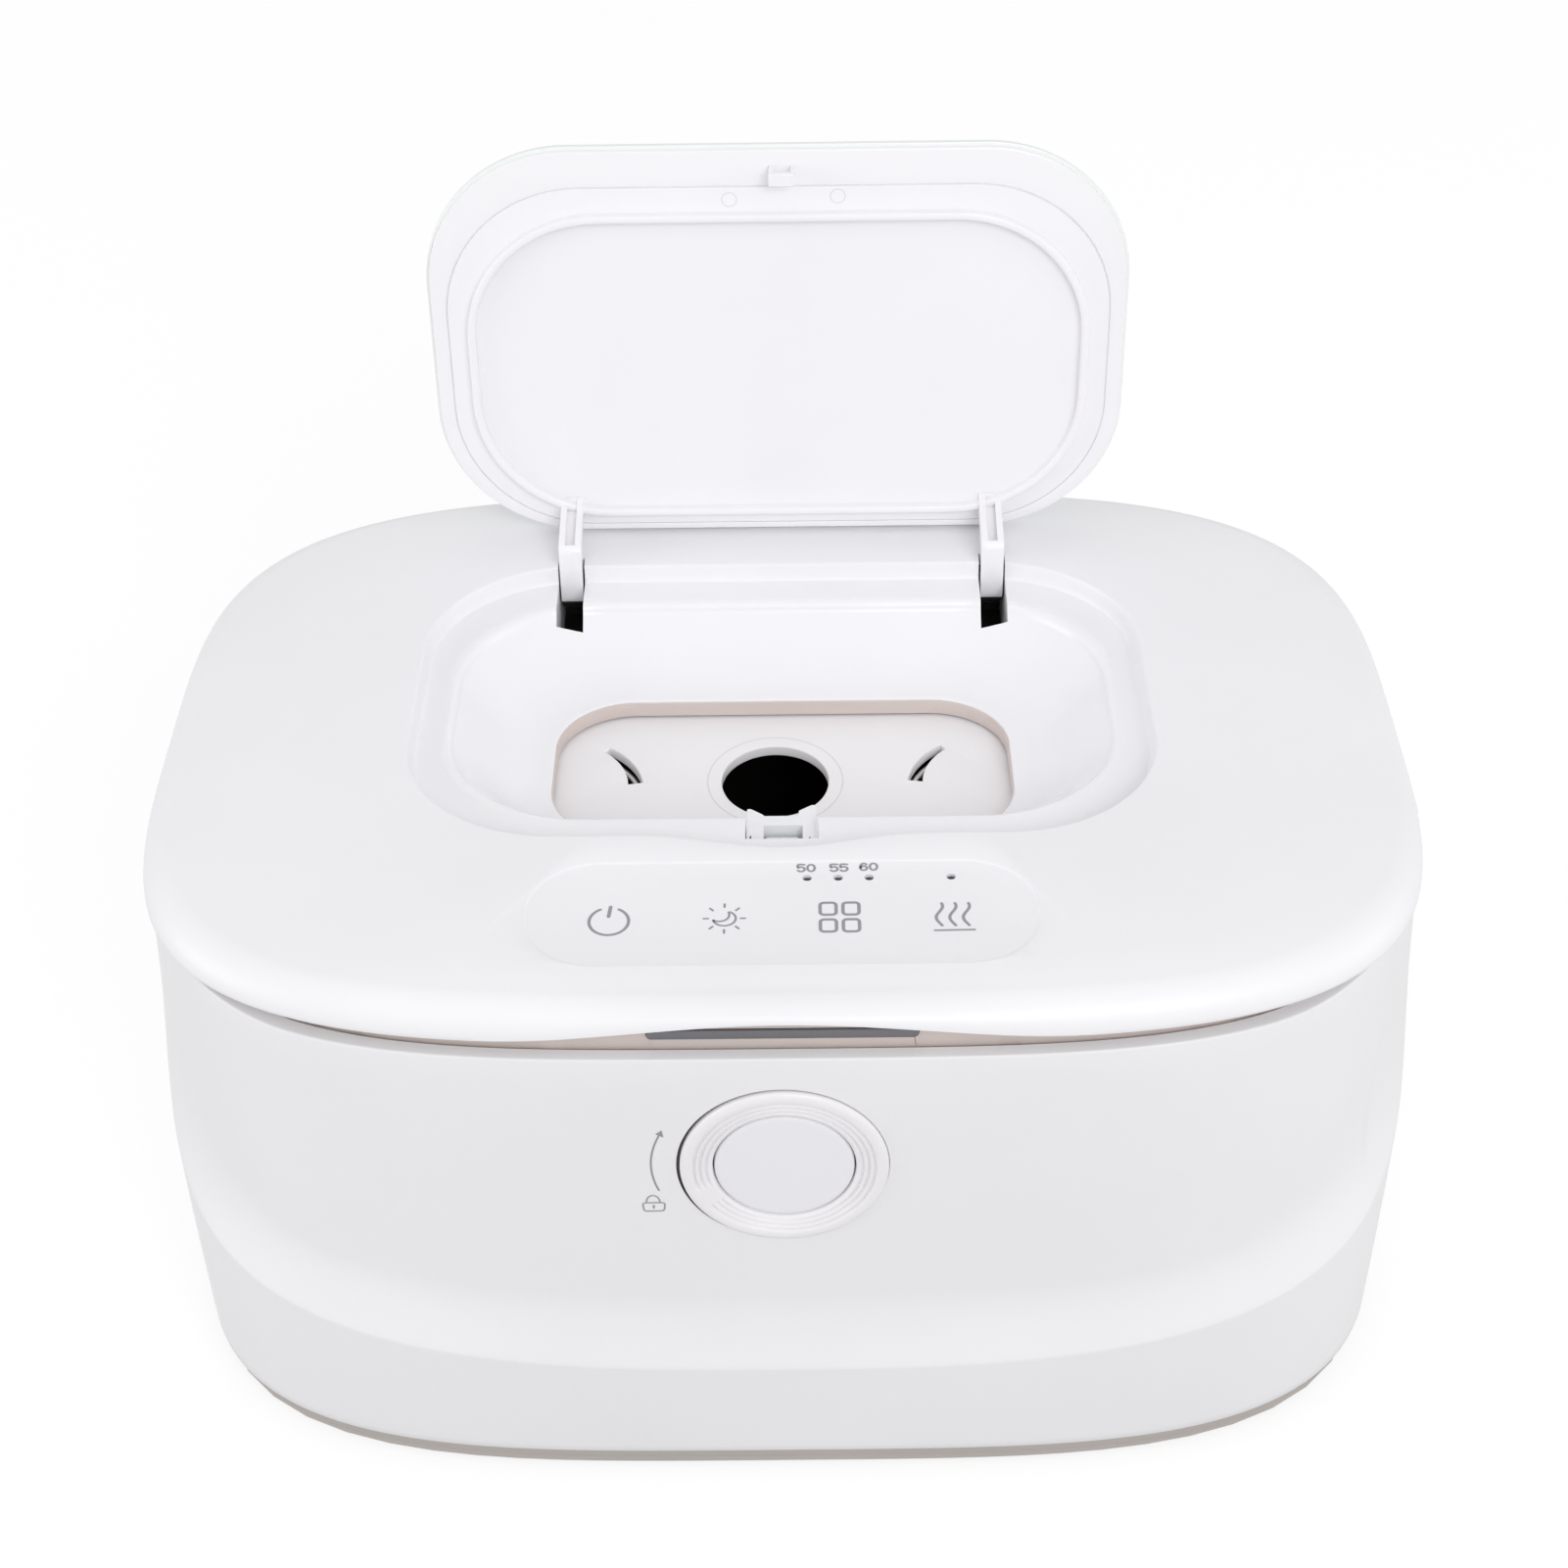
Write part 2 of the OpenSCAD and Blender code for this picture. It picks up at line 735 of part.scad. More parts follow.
// Lift springs: one unbroken wire, close turns at both ends, straight ends
spring_y = 2;
spring_base = tank_floor;
spring_top = plate_z;
end_pitch = wire_d + 0.55;
wire_sides = 6;
curl_rings = 8;
bend = 1.4*wire_d;
coil_low = spring_base + wire_d + bend;
coil_high = spring_top - wire_d - bend;
mid_pitch = (coil_high - coil_low - 2*end_pitch)/(spring_turns - 2);
function coil_z(t) =
    t < 1 ? coil_low + end_pitch*t :
    t > spring_turns - 1 ? coil_high - end_pitch*(spring_turns - t) :
    coil_low + end_pitch + mid_pitch*(t - 1);
function coil_pt(t) = [spring_r*cos(360*t), spring_r*sin(360*t), coil_z(t)];
// The bend at an end turns the wire upright over a small quarter turn
bend_turn = bend/(2*PI*spring_r);
function end_pt(t, k, up, z0) =
    let (q = 90*k, s = up ? 1 : -1, u = t + s*bend_turn*sin(q))
    [spring_r*cos(360*u), spring_r*sin(360*u), z0 + s*bend*(1 - cos(q))];
wire_path = concat(
    [[spring_r*cos(-360*bend_turn), spring_r*sin(-360*bend_turn), spring_base]],
    [for (k = [1, 0.66, 0.33]) end_pt(0, k, false, coil_low)],
    [for (i = [0:spring_turns*curl_rings]) coil_pt(i/curl_rings)],
    [for (k = [0.33, 0.66, 1]) end_pt(spring_turns, k, true, coil_high)],
    [[spring_r*cos(360*bend_turn), spring_r*sin(360*bend_turn), spring_top]]
);
function unit(v) = v/norm(v);
function wire_ring(i) =
    let (
        n = len(wire_path),
        p = wire_path[i],
        dir = i == 0 || i == n - 1 ? [0, 0, 1] :
            unit(wire_path[i + 1] - wire_path[i - 1]),
        out = unit([p[0], p[1], 0]),
        side = cross(dir, out)
    )
    [for (k = [0:wire_sides - 1])
        p + wire_d/2*(out*cos(360*k/wire_sides) + side*sin(360*k/wire_sides))];
wire_rings = [for (i = [0:len(wire_path) - 1]) wire_ring(i)];
wire_last = len(wire_rings)*wire_sides;
wire_faces = concat(
    [[for (k = [0:wire_sides - 1]) k]],
    [
        for (r = [0:len(wire_rings) - 2], k = [0:wire_sides - 1])
            let (
                a = r*wire_sides + k,
                b = r*wire_sides + (k + 1)%wire_sides,
                c = a + wire_sides,
                d = b + wire_sides
            )
            each [[a, c, d], [a, d, b]]
    ],
    [[for (k = [0:wire_sides - 1]) wire_last - 1 - k]]
);
// Least gap between neighbouring turns, measured on the wire's points
turn_gaps = [
    for (t = [0:1/curl_rings:spring_turns - 1])
        norm(coil_pt(t + 1) - coil_pt(t)) - wire_d
];
echo(least_gap_between_turns = min(turn_gaps), turns = 2*spring_turns);
module lift_spring(side) {
    color("silver")
        place()
            translate([plate_x + side*spring_pitch/2, spring_y, 0])
                polyhedron(points = [for (r = wire_rings) each r], faces = wire_faces);
}
module lift_spring_left() {
    lift_spring(-1);
}
module lift_spring_right() {
    lift_spring(1);
}

slot_w = 3.4;
slot_from = 10;
slot_to = 58;
module arc_slot(side) {
    translate([side*spring_pitch/2, spring_y, 0])
        intersection() {
            tube(spring_r + slot_w/2, spring_r - slot_w/2, plate_z - 1, plate_top + 1);
            translate([0, 0, plate_z - 1])
                linear_extrude(plate_t + 2)
                    polygon([
                        [0, 0],
                        [-side*40*cos(slot_from), 40*sin(slot_from)],
                        [-side*40*cos(slot_to), 40*sin(slot_to)]
                    ]);
        }
}
module lift_plate() {
    color("white")
        place()
            translate([plate_x, plate_y, 0])
                difference() {
                    slab(plate_w, plate_d, 14, plate_z, plate_top);
                    translate([0, 1.8, 0])
                        scale([1, plate_hole_ratio, 1])
                            peg(plate_hole_r, plate_z - 1, plate_top + 1);
                    translate([0, -plate_y, 0]) {
                        arc_slot(-1);
                        arc_slot(1);
                    }
                }
}

groove_step = 1.08;
groove_w = 0.45;
function ring_face(r) = ring_h - 0.5*(ring_r - 1.6 - r)/(ring_r - 1.6 - button_r - button_gap);
module lock_ring() {
    inner = button_r + button_gap;
    color("white")
        place()
            on_panel()
                difference() {
                    rotate_extrude()
                        polygon([
                            [inner, -wall - 1.4],
                            [collar_r, -wall - 1.4],
                            [collar_r, -ring_sink],
                            [ring_r, -ring_sink],
                            [ring_r, ring_h - 0.7],
                            [ring_r - 0.5, ring_h - 0.2],
                            [ring_r - 1.6, ring_h],
                            for (k = [3:-1:1])
                                let (r = inner + 0.1 + k*groove_step)
                                each [
                                    [r + groove_w, ring_face(r + groove_w)],
                                    [r + groove_w/2, ring_face(r) - 0.25],
                                    [r - groove_w/2, ring_face(r) - 0.25],
                                    [r - groove_w, ring_face(r - groove_w)]
                                ],
                            [inner, ring_face(inner)]
                        ]);
                    // Shallow thumb notch that crosses the grooves
                    rotate([0, 0, 207])
                        intersection() {
                            tube(ring_r - 1.4, inner + 0.3, ring_h - 0.8, ring_h + 1);
                            translate([0, 0, ring_h - 0.8])
                                linear_extrude(2)
                                    polygon([[0, 0], [30, -4.4], [30, 4.4]]);
                        }
                }
}
module release_button() {
    color("white")
        place()
            on_panel()
                difference() {
                    union() {
                        rotate_extrude()
                            polygon([
                                [0, button_back],
                                [button_r, button_back],
                                [button_r, button_face - 0.7],
                                [button_r - 0.4, button_face - 0.2],
                                [button_r - 1.2, button_face],
                                [0, button_face + 0.2]
                            ]);
                        peg(flange_r, button_back - 1.3, button_back);
                    }
                    // Flat that lets the cover's hook pass
                    block(-20, 20, 5, 20, button_back - 2, button_back + tiny);
                }
}
module button_catch() {
    // A bail behind the button: the cover's hook hangs in front of its bar
    bar = panel_surface - hook_y - 2.6;
    color("white")
        place()
            on_panel() {
                for (s = [-1, 1])
                    block(s*9.6 - 1, s*9.6 + 1, 3.8, 9.4, bar - 1.4, button_back - 1.3 - fit_gap);
                block(-10.6, 10.6, 9.4 - tiny, 11, bar - 1.4, bar);
            }
}
module button_spring() {
    color("silver")
        place()
            on_panel()
                tube(5.2, 4.2, button_back - 4.3, button_back - 1.3);
}

function cover_lift(phi) =
    let (x = abs(outline_r(phi, cover_w/2, cover_d/2)*sin(phi)))
    fold(phi) > 90 || x > wave_half ? 0 : wave_h*pow(cos(90*x/wave_half), 2);
function cover_row(inset, z, share) = [
    for (i = [0:cols - 1])
        let (p = 360*i/cols)
        outline_pt(p, cover_w/2 - inset, cover_d/2 - inset, z + share*cover_lift(p))
];
function rrect_row(w, d, r, yc, z) = [
    for (i = [0:cols - 1])
        rrect_pt(360*i/cols, w, d, r, yc, z)
];
bump_half = 26;
function bumped(row, size) = [
    for (p = row)
        p[1] > 0 || abs(p[0]) > bump_half ? p :
            [p[0], p[1] - size*pow(cos(90*p[0]/bump_half), 2), p[2]]
];
edge_z = top_z - dome_h - cover_edge_r;
shoulder_z = edge_z + 1.6;
cover_rows = [
    cover_row(0.9, cover_z, 1),
    cover_row(0.1, cover_z + 0.3, 1),
    cover_row(0, edge_z, 0.95),
    for (k = [[22, 0.6], [45, 0.3], [68, 0.1], [90, 0]])
        cover_row(
            cover_edge_r*(1 - cos(k[0])), edge_z + cover_edge_r*sin(k[0]), k[1]),
    cover_row(cover_edge_r + 4, top_z - dome_h*0.25, 0),
    cover_row(cover_edge_r + 9, top_z, 0),
    bumped(rrect_row(seat_w + 1.4, seat_d + 0.8, seat_r + 0.6, seat_y, top_z), seat_bump),
    bumped(rrect_row(seat_w, seat_d, seat_r, seat_y, top_z - 0.6), seat_bump),
    bumped(rrect_row(seat_w - 1, seat_d - 0.4, seat_r, seat_y, seat_z + 0.3), seat_bump),
    bumped(rrect_row(seat_w - 2, seat_d - 1, seat_r, seat_y, seat_z), seat_bump*0.9),
    rrect_row(bowl_w + 3, bowl_d + 2.6, bowl_r + 1, bowl_y, seat_z - 0.1),
    rrect_row(bowl_w, bowl_d, bowl_r, bowl_y, bowl_z),
    rrect_row(bowl_w - 0.8, bowl_d - 0.6, bowl_r, bowl_y, bowl_z - 1.2),
    rrect_row(bowl_w - 8, bowl_d - 6, bowl_r - 1, bowl_y - 0.6, bowl_z - 4.6),
    rrect_row(opening_w + 18, opening_d + 15, opening_r + 7, opening_y + 1, lip_z + 2.4),
    rrect_row(opening_w + 9, opening_d + 9, opening_r + 4, opening_y, lip_z + 0.5),
    rrect_row(opening_w, opening_d, opening_r, opening_y, lip_z),
    rrect_row(opening_w, opening_d, opening_r, opening_y, lip_z - lip_edge),
    rrect_row(opening_w + 5, opening_d + 5, opening_r + 2.5, opening_y, lip_z - lip_edge),
    rrect_row(opening_w + 5.2, opening_d + 5.2, opening_r + 2.6, opening_y, lip_z - lip_t),
    rrect_row(opening_w + 16, opening_d + 15, opening_r + 7, opening_y, lip_z - lip_t + 0.2),
    rrect_row(bowl_w - 3, bowl_d - 1, bowl_r, bowl_y - 0.6, bowl_z - 7),
    rrect_row(bowl_w + 4, bowl_d + 4, bowl_r + 1, bowl_y, seat_z - cover_t - 0.3),
    bumped(rrect_row(seat_w + 4.2, seat_d + 4.2, seat_r + 2, seat_y, seat_z - cover_t), seat_bump),
    bumped(rrect_row(seat_w + 5, seat_d + 5, seat_r + 2, seat_y, under_z), seat_bump),
    cover_row(cover_edge_r + 1.6, under_z, 0),
    cover_row(2.6, shoulder_z, 0.6),
    cover_row(2, cover_z, 1)
];
latch_w = 13.2;
latch_d = 9;
latch_mid = latch_y + 0.9;
module top_cover() {
    color("white")
        place()
            difference() {
                union() {
                    ring_skin(cover_rows);
                    cover_knuckles();
                    four(boss_x, boss_y)
                        peg(3.4, web_top, under_z + 0.4);
                    pin_bosses();
                }
                // Control panel, a shallow rounded recess with small lamp holes
                translate([0, panel_y, 0])
                    slab(panel_w, panel_len, 13, top_z - 0.45, top_z + 2);
                for (x = led_xs)
                    translate([x, lead_row_y, 0])
                        peg(led_r, under_z - 1, top_z + 1);
                // Notch for the lid's latch
                block(-latch_w/2 - fit_gap, latch_w/2 + fit_gap,
                    latch_mid - latch_d/2 - fit_gap, latch_mid + latch_d/2 + 4,
                    web_top, top_z + 1);
                // Hinge pockets for the lid's arms
                for (s = [-1, 1])
                    block(s*arm_x - pocket_w/2, s*arm_x + pocket_w/2,
                        pocket_front, pocket_back, web_top, top_z + 1);
                for (s = [-1, 1])
                    along_x(s*arm_x - 12, s*arm_x + 12, lid_pivot_y, lid_pivot_z, lid_pin_r);
                four(boss_x, boss_y)
                    peg(1.2, web_top - 1, under_z - 2);
            }
}
boss_x = tank_w/2 - 7;
boss_y = 34;
led_xs = [4.5, 10, 15.5, 1.5*key_pitch];
module cover_knuckles() {
    for (s = [-1, 1])
        difference() {
            union() {
                along_x(s*hinge_x - 4.9, s*hinge_x + 4.9, hinge_y, hinge_z, knuckle_r);
                translate([s*hinge_x - 4.9, 0, 0])
                    rotate([90, 0, 90])
                        linear_extrude(9.8)
                            polygon([
                                [cover_d/2 - 1.6, cover_z + 1],
                                [hinge_y - 1, hinge_z + 0.5],
                                [hinge_y + knuckle_r*0.7, hinge_z + knuckle_r*0.7],
                                [hinge_y, cover_z + 4],
                                [cover_d/2 - 1.6, cover_z + 5]
                            ]);
            }
            along_x(s*hinge_x - 9, s*hinge_x + 9, hinge_y, hinge_z, hinge_pin_r + pin_gap);
        }
}
// Ears under the cover that hold the lid's hinge pins, one each side of an arm
ear_t = 2;
module pin_bosses() {
    for (s = [-1, 1], e = [-1, 1])
        translate([s*arm_x + e*(pocket_w/2 + ear_t/2 + 0.2), 0, 0]) {
            along_x(-ear_t/2, ear_t/2, lid_pivot_y, lid_pivot_z, 3.2);
            block(-ear_t/2, ear_t/2, lid_pivot_y - 1.2, lid_pivot_y + 3.2,
                lid_pivot_z, under_z + 0.4);
        }
}

module cover_frame() {
    color("rosybrown")
        place()
            difference() {
                union() {
                    outline_slab(skirt_inset, web_z, web_top);
                    difference() {
                        outline_slab(skirt_inset, web_z, shoulder_z + gap);
                        outline_slab(skirt_inset + skirt_t, web_z - 1, top_z);
                    }
                    translate([0, opening_y, 0])
                        slab(opening_w + 3.6, opening_d + 3.6, opening_r + 1.8,
                            web_z, lip_z - lip_edge);
                }
                translate([0, opening_y, 0])
                    slab(opening_w - 0.6, opening_d - 0.6, opening_r - 0.3, 0, lip_z + 1);
                // Shallow wells in which the lid's arms swing
                for (s = [-1, 1])
                    block(s*arm_x - pocket_w/2 - 0.4, s*arm_x + pocket_w/2 + 0.4,
                        pocket_front - 1, lid_pivot_y + arm_ring_r + 1,
                        web_top - 0.9, web_top + 1);
                // Slot for the smoked window
                translate([0, -cover_d/2 + skirt_inset - 1, 0])
                    window_bar(2*(skirt_t + 1), fit_gap);
                four(boss_x, boss_y)
                    peg(1.6, 0, web_top + 1);
            }
}
window_w = 46.4;
window_h = 1.8;
window_z = cover_z - 1.45;
module window_bar(depth, grow) {
    translate([0, 0, window_z])
        rotate([-90, 0, 0])
            linear_extrude(depth)
                rrect(window_w + 2*grow, window_h + 2*grow, window_h/2 + grow - tiny);
}
module light_window() {
    color([0.3, 0.3, 0.33])
        place()
            translate([0, -cover_d/2 + skirt_inset - 0.4, 0])
                window_bar(skirt_t + 0.4, 0);
}
module night_light_board() {
    color("darkgreen")
        place()
            block(-24, 24, -cover_d/2 + skirt_inset + skirt_t + 0.1,
                -cover_d/2 + skirt_inset + skirt_t + 1.1, window_z - 5, window_z + 2.2);
}
module frame_screws() {
    color("silver")
        place()
            four(boss_x, boss_y) {
                peg(1.2, web_z - 0.2, web_top + 8);
                peg(2.7, web_z - 1.4, web_z);
            }
}
module cover_seal() {
    color([0.85, 0.85, 0.85])
        place()
            difference() {
                translate([0, 0, flange_z + flange_t + 0.2])
                    linear_extrude(web_z - flange_z - flange_t - 0.2)
                        polygon(outline_poly(tank_w/2 + 3, tank_d/2 + 3));
                linear_extrude(web_z + 10)
                    polygon(outline_poly(tank_w/2 - 0.6, tank_d/2 - 0.6));
            }
}
touch_z = under_z - 3.4;
module touch_board() {
    color("darkgreen")
        place()
            translate([0, board_y, 0])
                slab(panel_w - 2, board_d, 3, touch_z, touch_z + 1.6);
}
module touch_pads() {
    color("silver")
        place()
            for (i = [-1.5:1.5])
                translate([i*key_pitch, key_row_y, 0])
                    tube(4.6, 3.6, touch_z + 1.6, under_z);
}
module led_lenses() {
    color("dimgray")
        place()
            for (x = led_xs)
                translate([x, lead_row_y, 0])
                    peg(led_r - 0.1, touch_z + 1.6, top_z - 0.9);
}
module cover_hook() {
    color("white")
        place() {
            block(-5, 5, hook_y - 0.7, hook_y + 0.7, hook_z, web_z);
            block(-5, 5, hook_y + 0.7 - tiny, hook_y + 2, hook_z, hook_z + 2.3);
            block(-7, 7, hook_y - 0.7, hook_y + 4, web_z - 1.4, web_z);
        }
}

well_w = 6.8;
well_front = latch_mid - latch_d/2 + 1;
well_back = well_front + 5.2;
module latch_housing() {
    color("white")
        place()
            difference() {
                union() {
                    block(-latch_w/2, latch_w/2, latch_mid - latch_d/2,
                        latch_mid + latch_d/2, web_top, latch_top);
                    for (s = [-1, 1])
                        block(s*5 - 1.6, s*5 + 1.6, latch_mid + latch_d/2 - 2.2,
                            latch_mid + latch_d/2 + 1.8, latch_top - 1.6, latch_top - gap);
                }
                block(-well_w/2, well_w/2, well_front, well_back, web_top + 1.4, top_z);
            }
}
plunger_top = lid_face_z - hook_len - 0.35;
module latch_plunger() {
    color([0.85, 0.95, 0.88])
        place()
            block(-well_w/2 + 0.3, well_w/2 - 0.3, well_front + 0.3, well_back - 0.3,
                plunger_top - 4, plunger_top);
}
module latch_spring() {
    color("silver")
        place()
            translate([0, (well_front + well_back)/2, 0])
                tube(1.8, 1.3, web_top + 1.4, plunger_top - 4);
}
module lid_hinge_pins() {
    color("silver")
        place()
            for (s = [-1, 1])
                along_x(s*arm_x - pocket_w/2 - ear_t, s*arm_x + pocket_w/2 + ear_t,
                    lid_pivot_y, lid_pivot_z, lid_pin_r);
}

shell_skin = 1.9;
module lid_shell() {
    color("white")
        place()
            lid_pose()
                translate([0, lid_y, 0]) {
                    slab(lid_w, lid_d, lid_r, top_z - shell_skin, top_z - 0.8);
                    slab(lid_w - 1.4, lid_d - 1.4, lid_r - 0.7, top_z - 0.8 - tiny, top_z);
                }
}
module lid_liner() {
    color("white")
        place()
            lid_pose()
                difference() {
                    union() {
                        translate([0, lid_y, 0])
                            slab(lid_w - 1.2, lid_d - 1.2, lid_r - 0.6,
                                liner_z, top_z - shell_skin);
                        translate([0, lid_y + 2.9, 0])
                            slab(rib_w + 7.6, lid_d - 10.4, bowl_r + 0.5,
                                lid_face_z, liner_z + tiny);
                        difference() {
                            translate([0, rib_y, 0])
                                slab(rib_w, rib_d, bowl_r,
                                    lid_face_z - rib_h, lid_face_z + tiny);
                            translate([0, rib_y, 0])
                                slab(rib_w - 2*rib_t, rib_d - 2*rib_t, bowl_r - rib_t,
                                    0, lid_face_z);
                        }
                        for (s = [-1, 1])
                            translate([s*arm_x, 0, 0])
                                lid_arm();
                    }
                    for (s = [-1, 1])
                        along_x(s*arm_x - arm_w, s*arm_x + arm_w, lid_pivot_y, lid_pivot_z,
                            lid_pin_r + pin_gap);
                }
}
// Goose-neck arm in the closed pose: down from the lid, then back to the hinge pin
arm_out = 19.6;
arm_bend = 15.1;
arm_low = 7.4;
neck_z = -3.6;
arm_top = lid_face_z - lid_pivot_z;
module arm_side(points, w) {
    translate([-w/2, lid_pivot_y, lid_pivot_z])
        rotate([90, 0, 90])
            linear_extrude(w)
                polygon(points);
}
module lid_arm() {
    difference() {
        union() {
            arm_side([
                [-arm_out, arm_top + 0.2],
                [-arm_out + 1.4, arm_top - 1.4],
                [-arm_out + 2.4, arm_top - 4.6],
                [-arm_bend, -arm_low],
                [-2, -arm_low],
                [1.2, -arm_ring_r + 0.3],
                [0, 0],
                [-arm_ring_r + 0.1, 0.5],
                [-arm_ring_r - 0.4, neck_z],
                [-arm_bend + 3.6, neck_z],
                [-arm_bend - 0.3, arm_top + 0.2]
            ], arm_w);
            along_x(-arm_w/2, arm_w/2, lid_pivot_y, lid_pivot_z, arm_ring_r);
        }
        // Slot along the outside of the arm
        arm_side([
            [-arm_out - 1, arm_top - 0.6],
            [-arm_out + 2.4, arm_top - 0.6],
            [-arm_bend + 1.6, -arm_low + 1.2],
            [-arm_out - 1, -arm_low + 1.2]
        ], 2);
    }
}
module lid_hook() {
    hook_low = lid_face_z - hook_len;
    color("white")
        place()
            lid_pose()
                translate([0.6, latch_y - 1.5, 0]) {
                    block(-2.1, 2.1, -0.8, 0.8, hook_low, liner_z);
                    block(-2.1, 2.1, 0.8 - tiny, 1.5, hook_low, hook_low + 1.2);
                }
}

body_shell();
base_pan();
rubber_feet();
base_screws();
inner_tank();
heater_film();
insulation_pad();
temp_sensor();
thermal_fuse();
power_board();
board_parts();
dc_jack();
cover_hinge_pins();
ring_retainer();
retainer_screws();
lift_spring_left();
lift_spring_right();
lift_plate();
lock_ring();
release_button();
button_catch();
button_spring();
top_cover();
cover_frame();
frame_screws();
cover_seal();
light_window();
night_light_board();
touch_board();
touch_pads();
led_lenses();
cover_hook();
latch_housing();
latch_plunger();
latch_spring();
lid_hinge_pins();
lid_shell();
lid_liner();
lid_hook();
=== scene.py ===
import math

import bmesh
import bpy
import numpy as np
from mathutils import Matrix, Vector


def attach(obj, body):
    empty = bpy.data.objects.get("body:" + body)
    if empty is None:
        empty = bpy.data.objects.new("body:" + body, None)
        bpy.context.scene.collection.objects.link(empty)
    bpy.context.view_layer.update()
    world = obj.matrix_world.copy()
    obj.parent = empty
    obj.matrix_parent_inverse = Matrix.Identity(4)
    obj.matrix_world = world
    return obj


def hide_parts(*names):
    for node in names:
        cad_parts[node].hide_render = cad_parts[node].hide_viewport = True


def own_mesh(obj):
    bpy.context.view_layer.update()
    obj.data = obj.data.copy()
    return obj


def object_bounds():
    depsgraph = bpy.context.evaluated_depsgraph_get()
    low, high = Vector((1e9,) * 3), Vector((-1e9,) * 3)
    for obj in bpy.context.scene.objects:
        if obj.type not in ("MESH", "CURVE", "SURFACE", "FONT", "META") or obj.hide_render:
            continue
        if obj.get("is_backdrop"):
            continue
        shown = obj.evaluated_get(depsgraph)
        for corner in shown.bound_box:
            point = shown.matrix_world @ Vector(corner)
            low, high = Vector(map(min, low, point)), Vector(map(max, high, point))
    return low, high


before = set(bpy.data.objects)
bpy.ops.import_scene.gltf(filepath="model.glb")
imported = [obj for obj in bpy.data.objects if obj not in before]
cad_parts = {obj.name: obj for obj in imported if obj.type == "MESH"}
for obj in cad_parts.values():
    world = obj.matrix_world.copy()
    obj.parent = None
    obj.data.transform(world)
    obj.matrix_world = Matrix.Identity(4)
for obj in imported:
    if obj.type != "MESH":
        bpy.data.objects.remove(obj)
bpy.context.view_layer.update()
scene = bpy.context.scene

# Sizes in millimetres. Tub: plan, heights, taper and the scooped front
BODY_W, BODY_D = 241.0, 178.8
PLAN_POWER, PLAN_BOW = 3.62, 0.15
SHELL_Z, BELLY_Z, RIM_Z = 5.2, 84.5, 110.8
TAPER_W, TAPER_D, TAPER_TOP, TUCK = 1.9, 11.0, 104.0, 1.6
WALL, INSET, PANEL_DROP = 2.2, 4.0, 3.4
CREASE_Z, CREASE_ANGLE, CREASE_POWER = 30.0, 80, 2.85
LEDGE_H, PANEL_ANGLE, PANEL_POWER = 17.5, 62, 4.8
DROP_ANGLE, DROP_BLEND = 48, 16
TANK_LEDGE_Z, TANK_LEDGE_IN = 96.4, 12
JACK_X, JACK_Z, JACK_R = 78, 12.8, 4.35
FOOT_GAP = 1.2

# Top cover: rim, seat of the lid, opening and deck. SEAT is width, depth, corner radius and middle in Y
COVER_W, COVER_D, COVER_Z, TOP_Z = 236.0, 172.8, 111.7, 119.0
EDGE_R, EDGE_Z, UNDER_Z = 6.2, 112.3, 116.4
WAVE_H, WAVE_HALF = 4.0, 53.0
SEAT = (141.2, 90.8, 29.5, 7.8)
BUMP, BUMP_HALF = 3.8, 26.0
WEB_TOP = 101.2
PANEL_W, PANEL_LEN, PANEL_R, PANEL_Y, PANEL_SINK = 90, 28.6, 13, -59.9, 0.3
LEDS, LED_Y, LED_R = (4.5, 10.0, 15.5, 30.0), -50.3, 0.85
PRINT_LIFT = 0.02

# Cover hinge: axis as (Y, Z), middle of each hinge, knuckles and lugs
HINGE = (90.4, 110.0)
HINGE_X, KNUCKLE_R, KNUCKLE_HALF = 45.0, 3.6, 4.9
LUG_X, LUG_HALF, NOTCH_HALF = 8.5, 3, 5.2

# Flip lid: axis as (Y, Z), arms with their pockets, plan, step, rib, hook. Drawn shut, then turned open
LID_PIVOT = (59.1, 109.0)
ARM_X, ARM_W, POCKET_HALF = 43.4, 4.6, 2.7
POCKET_Y = (40.7, 56.3)
CUP_Y, CUP_Z = (40.1, 62.7), (100.7, 116.2)
LID_W, LID_D, LID_R, LID_Y = 139.4, 85.8, 29.0, 5.8
STEP = (131.8, 75.4, 27.5, 8.7)
RIB = (124.2, 67.7, 27, 9.85)
LID_FACE, LINER_Z = 115.6, 115.9
HOOK_X, HOOK_FRONT, HOOK_LOW = 1.0, -33.5, 111.4
EYE_R, ARM_BEVEL, SHADE_BELOW = 3.2, 0.3, 110.9

# Latch of the flip lid, with the slot in the deck and the hook's well as (X from, X to, Y from, Y to)
LATCH_TOP = 113.3
LATCH_SLOT = (-6.7, 6.7, -34.3, -21.2)
LATCH_WELL = (-3.4, 3.8, -33.75, -27.9)

# Front lock: ring, its grooves and thumb patch, and the release button
RING_Z, RING_R, BUTTON_R, RING_H = 81.6, 18.4, 12.2, 1.0
COLLAR_R, RING_SINK = 15.2, 0.8
LOCK_GAP, RECESS_R, RECESS_X = 0.3, 18.75, -0.25
GROOVE_STEP, PATCH_FROM, PATCH_TO = 1.08, 195, 215

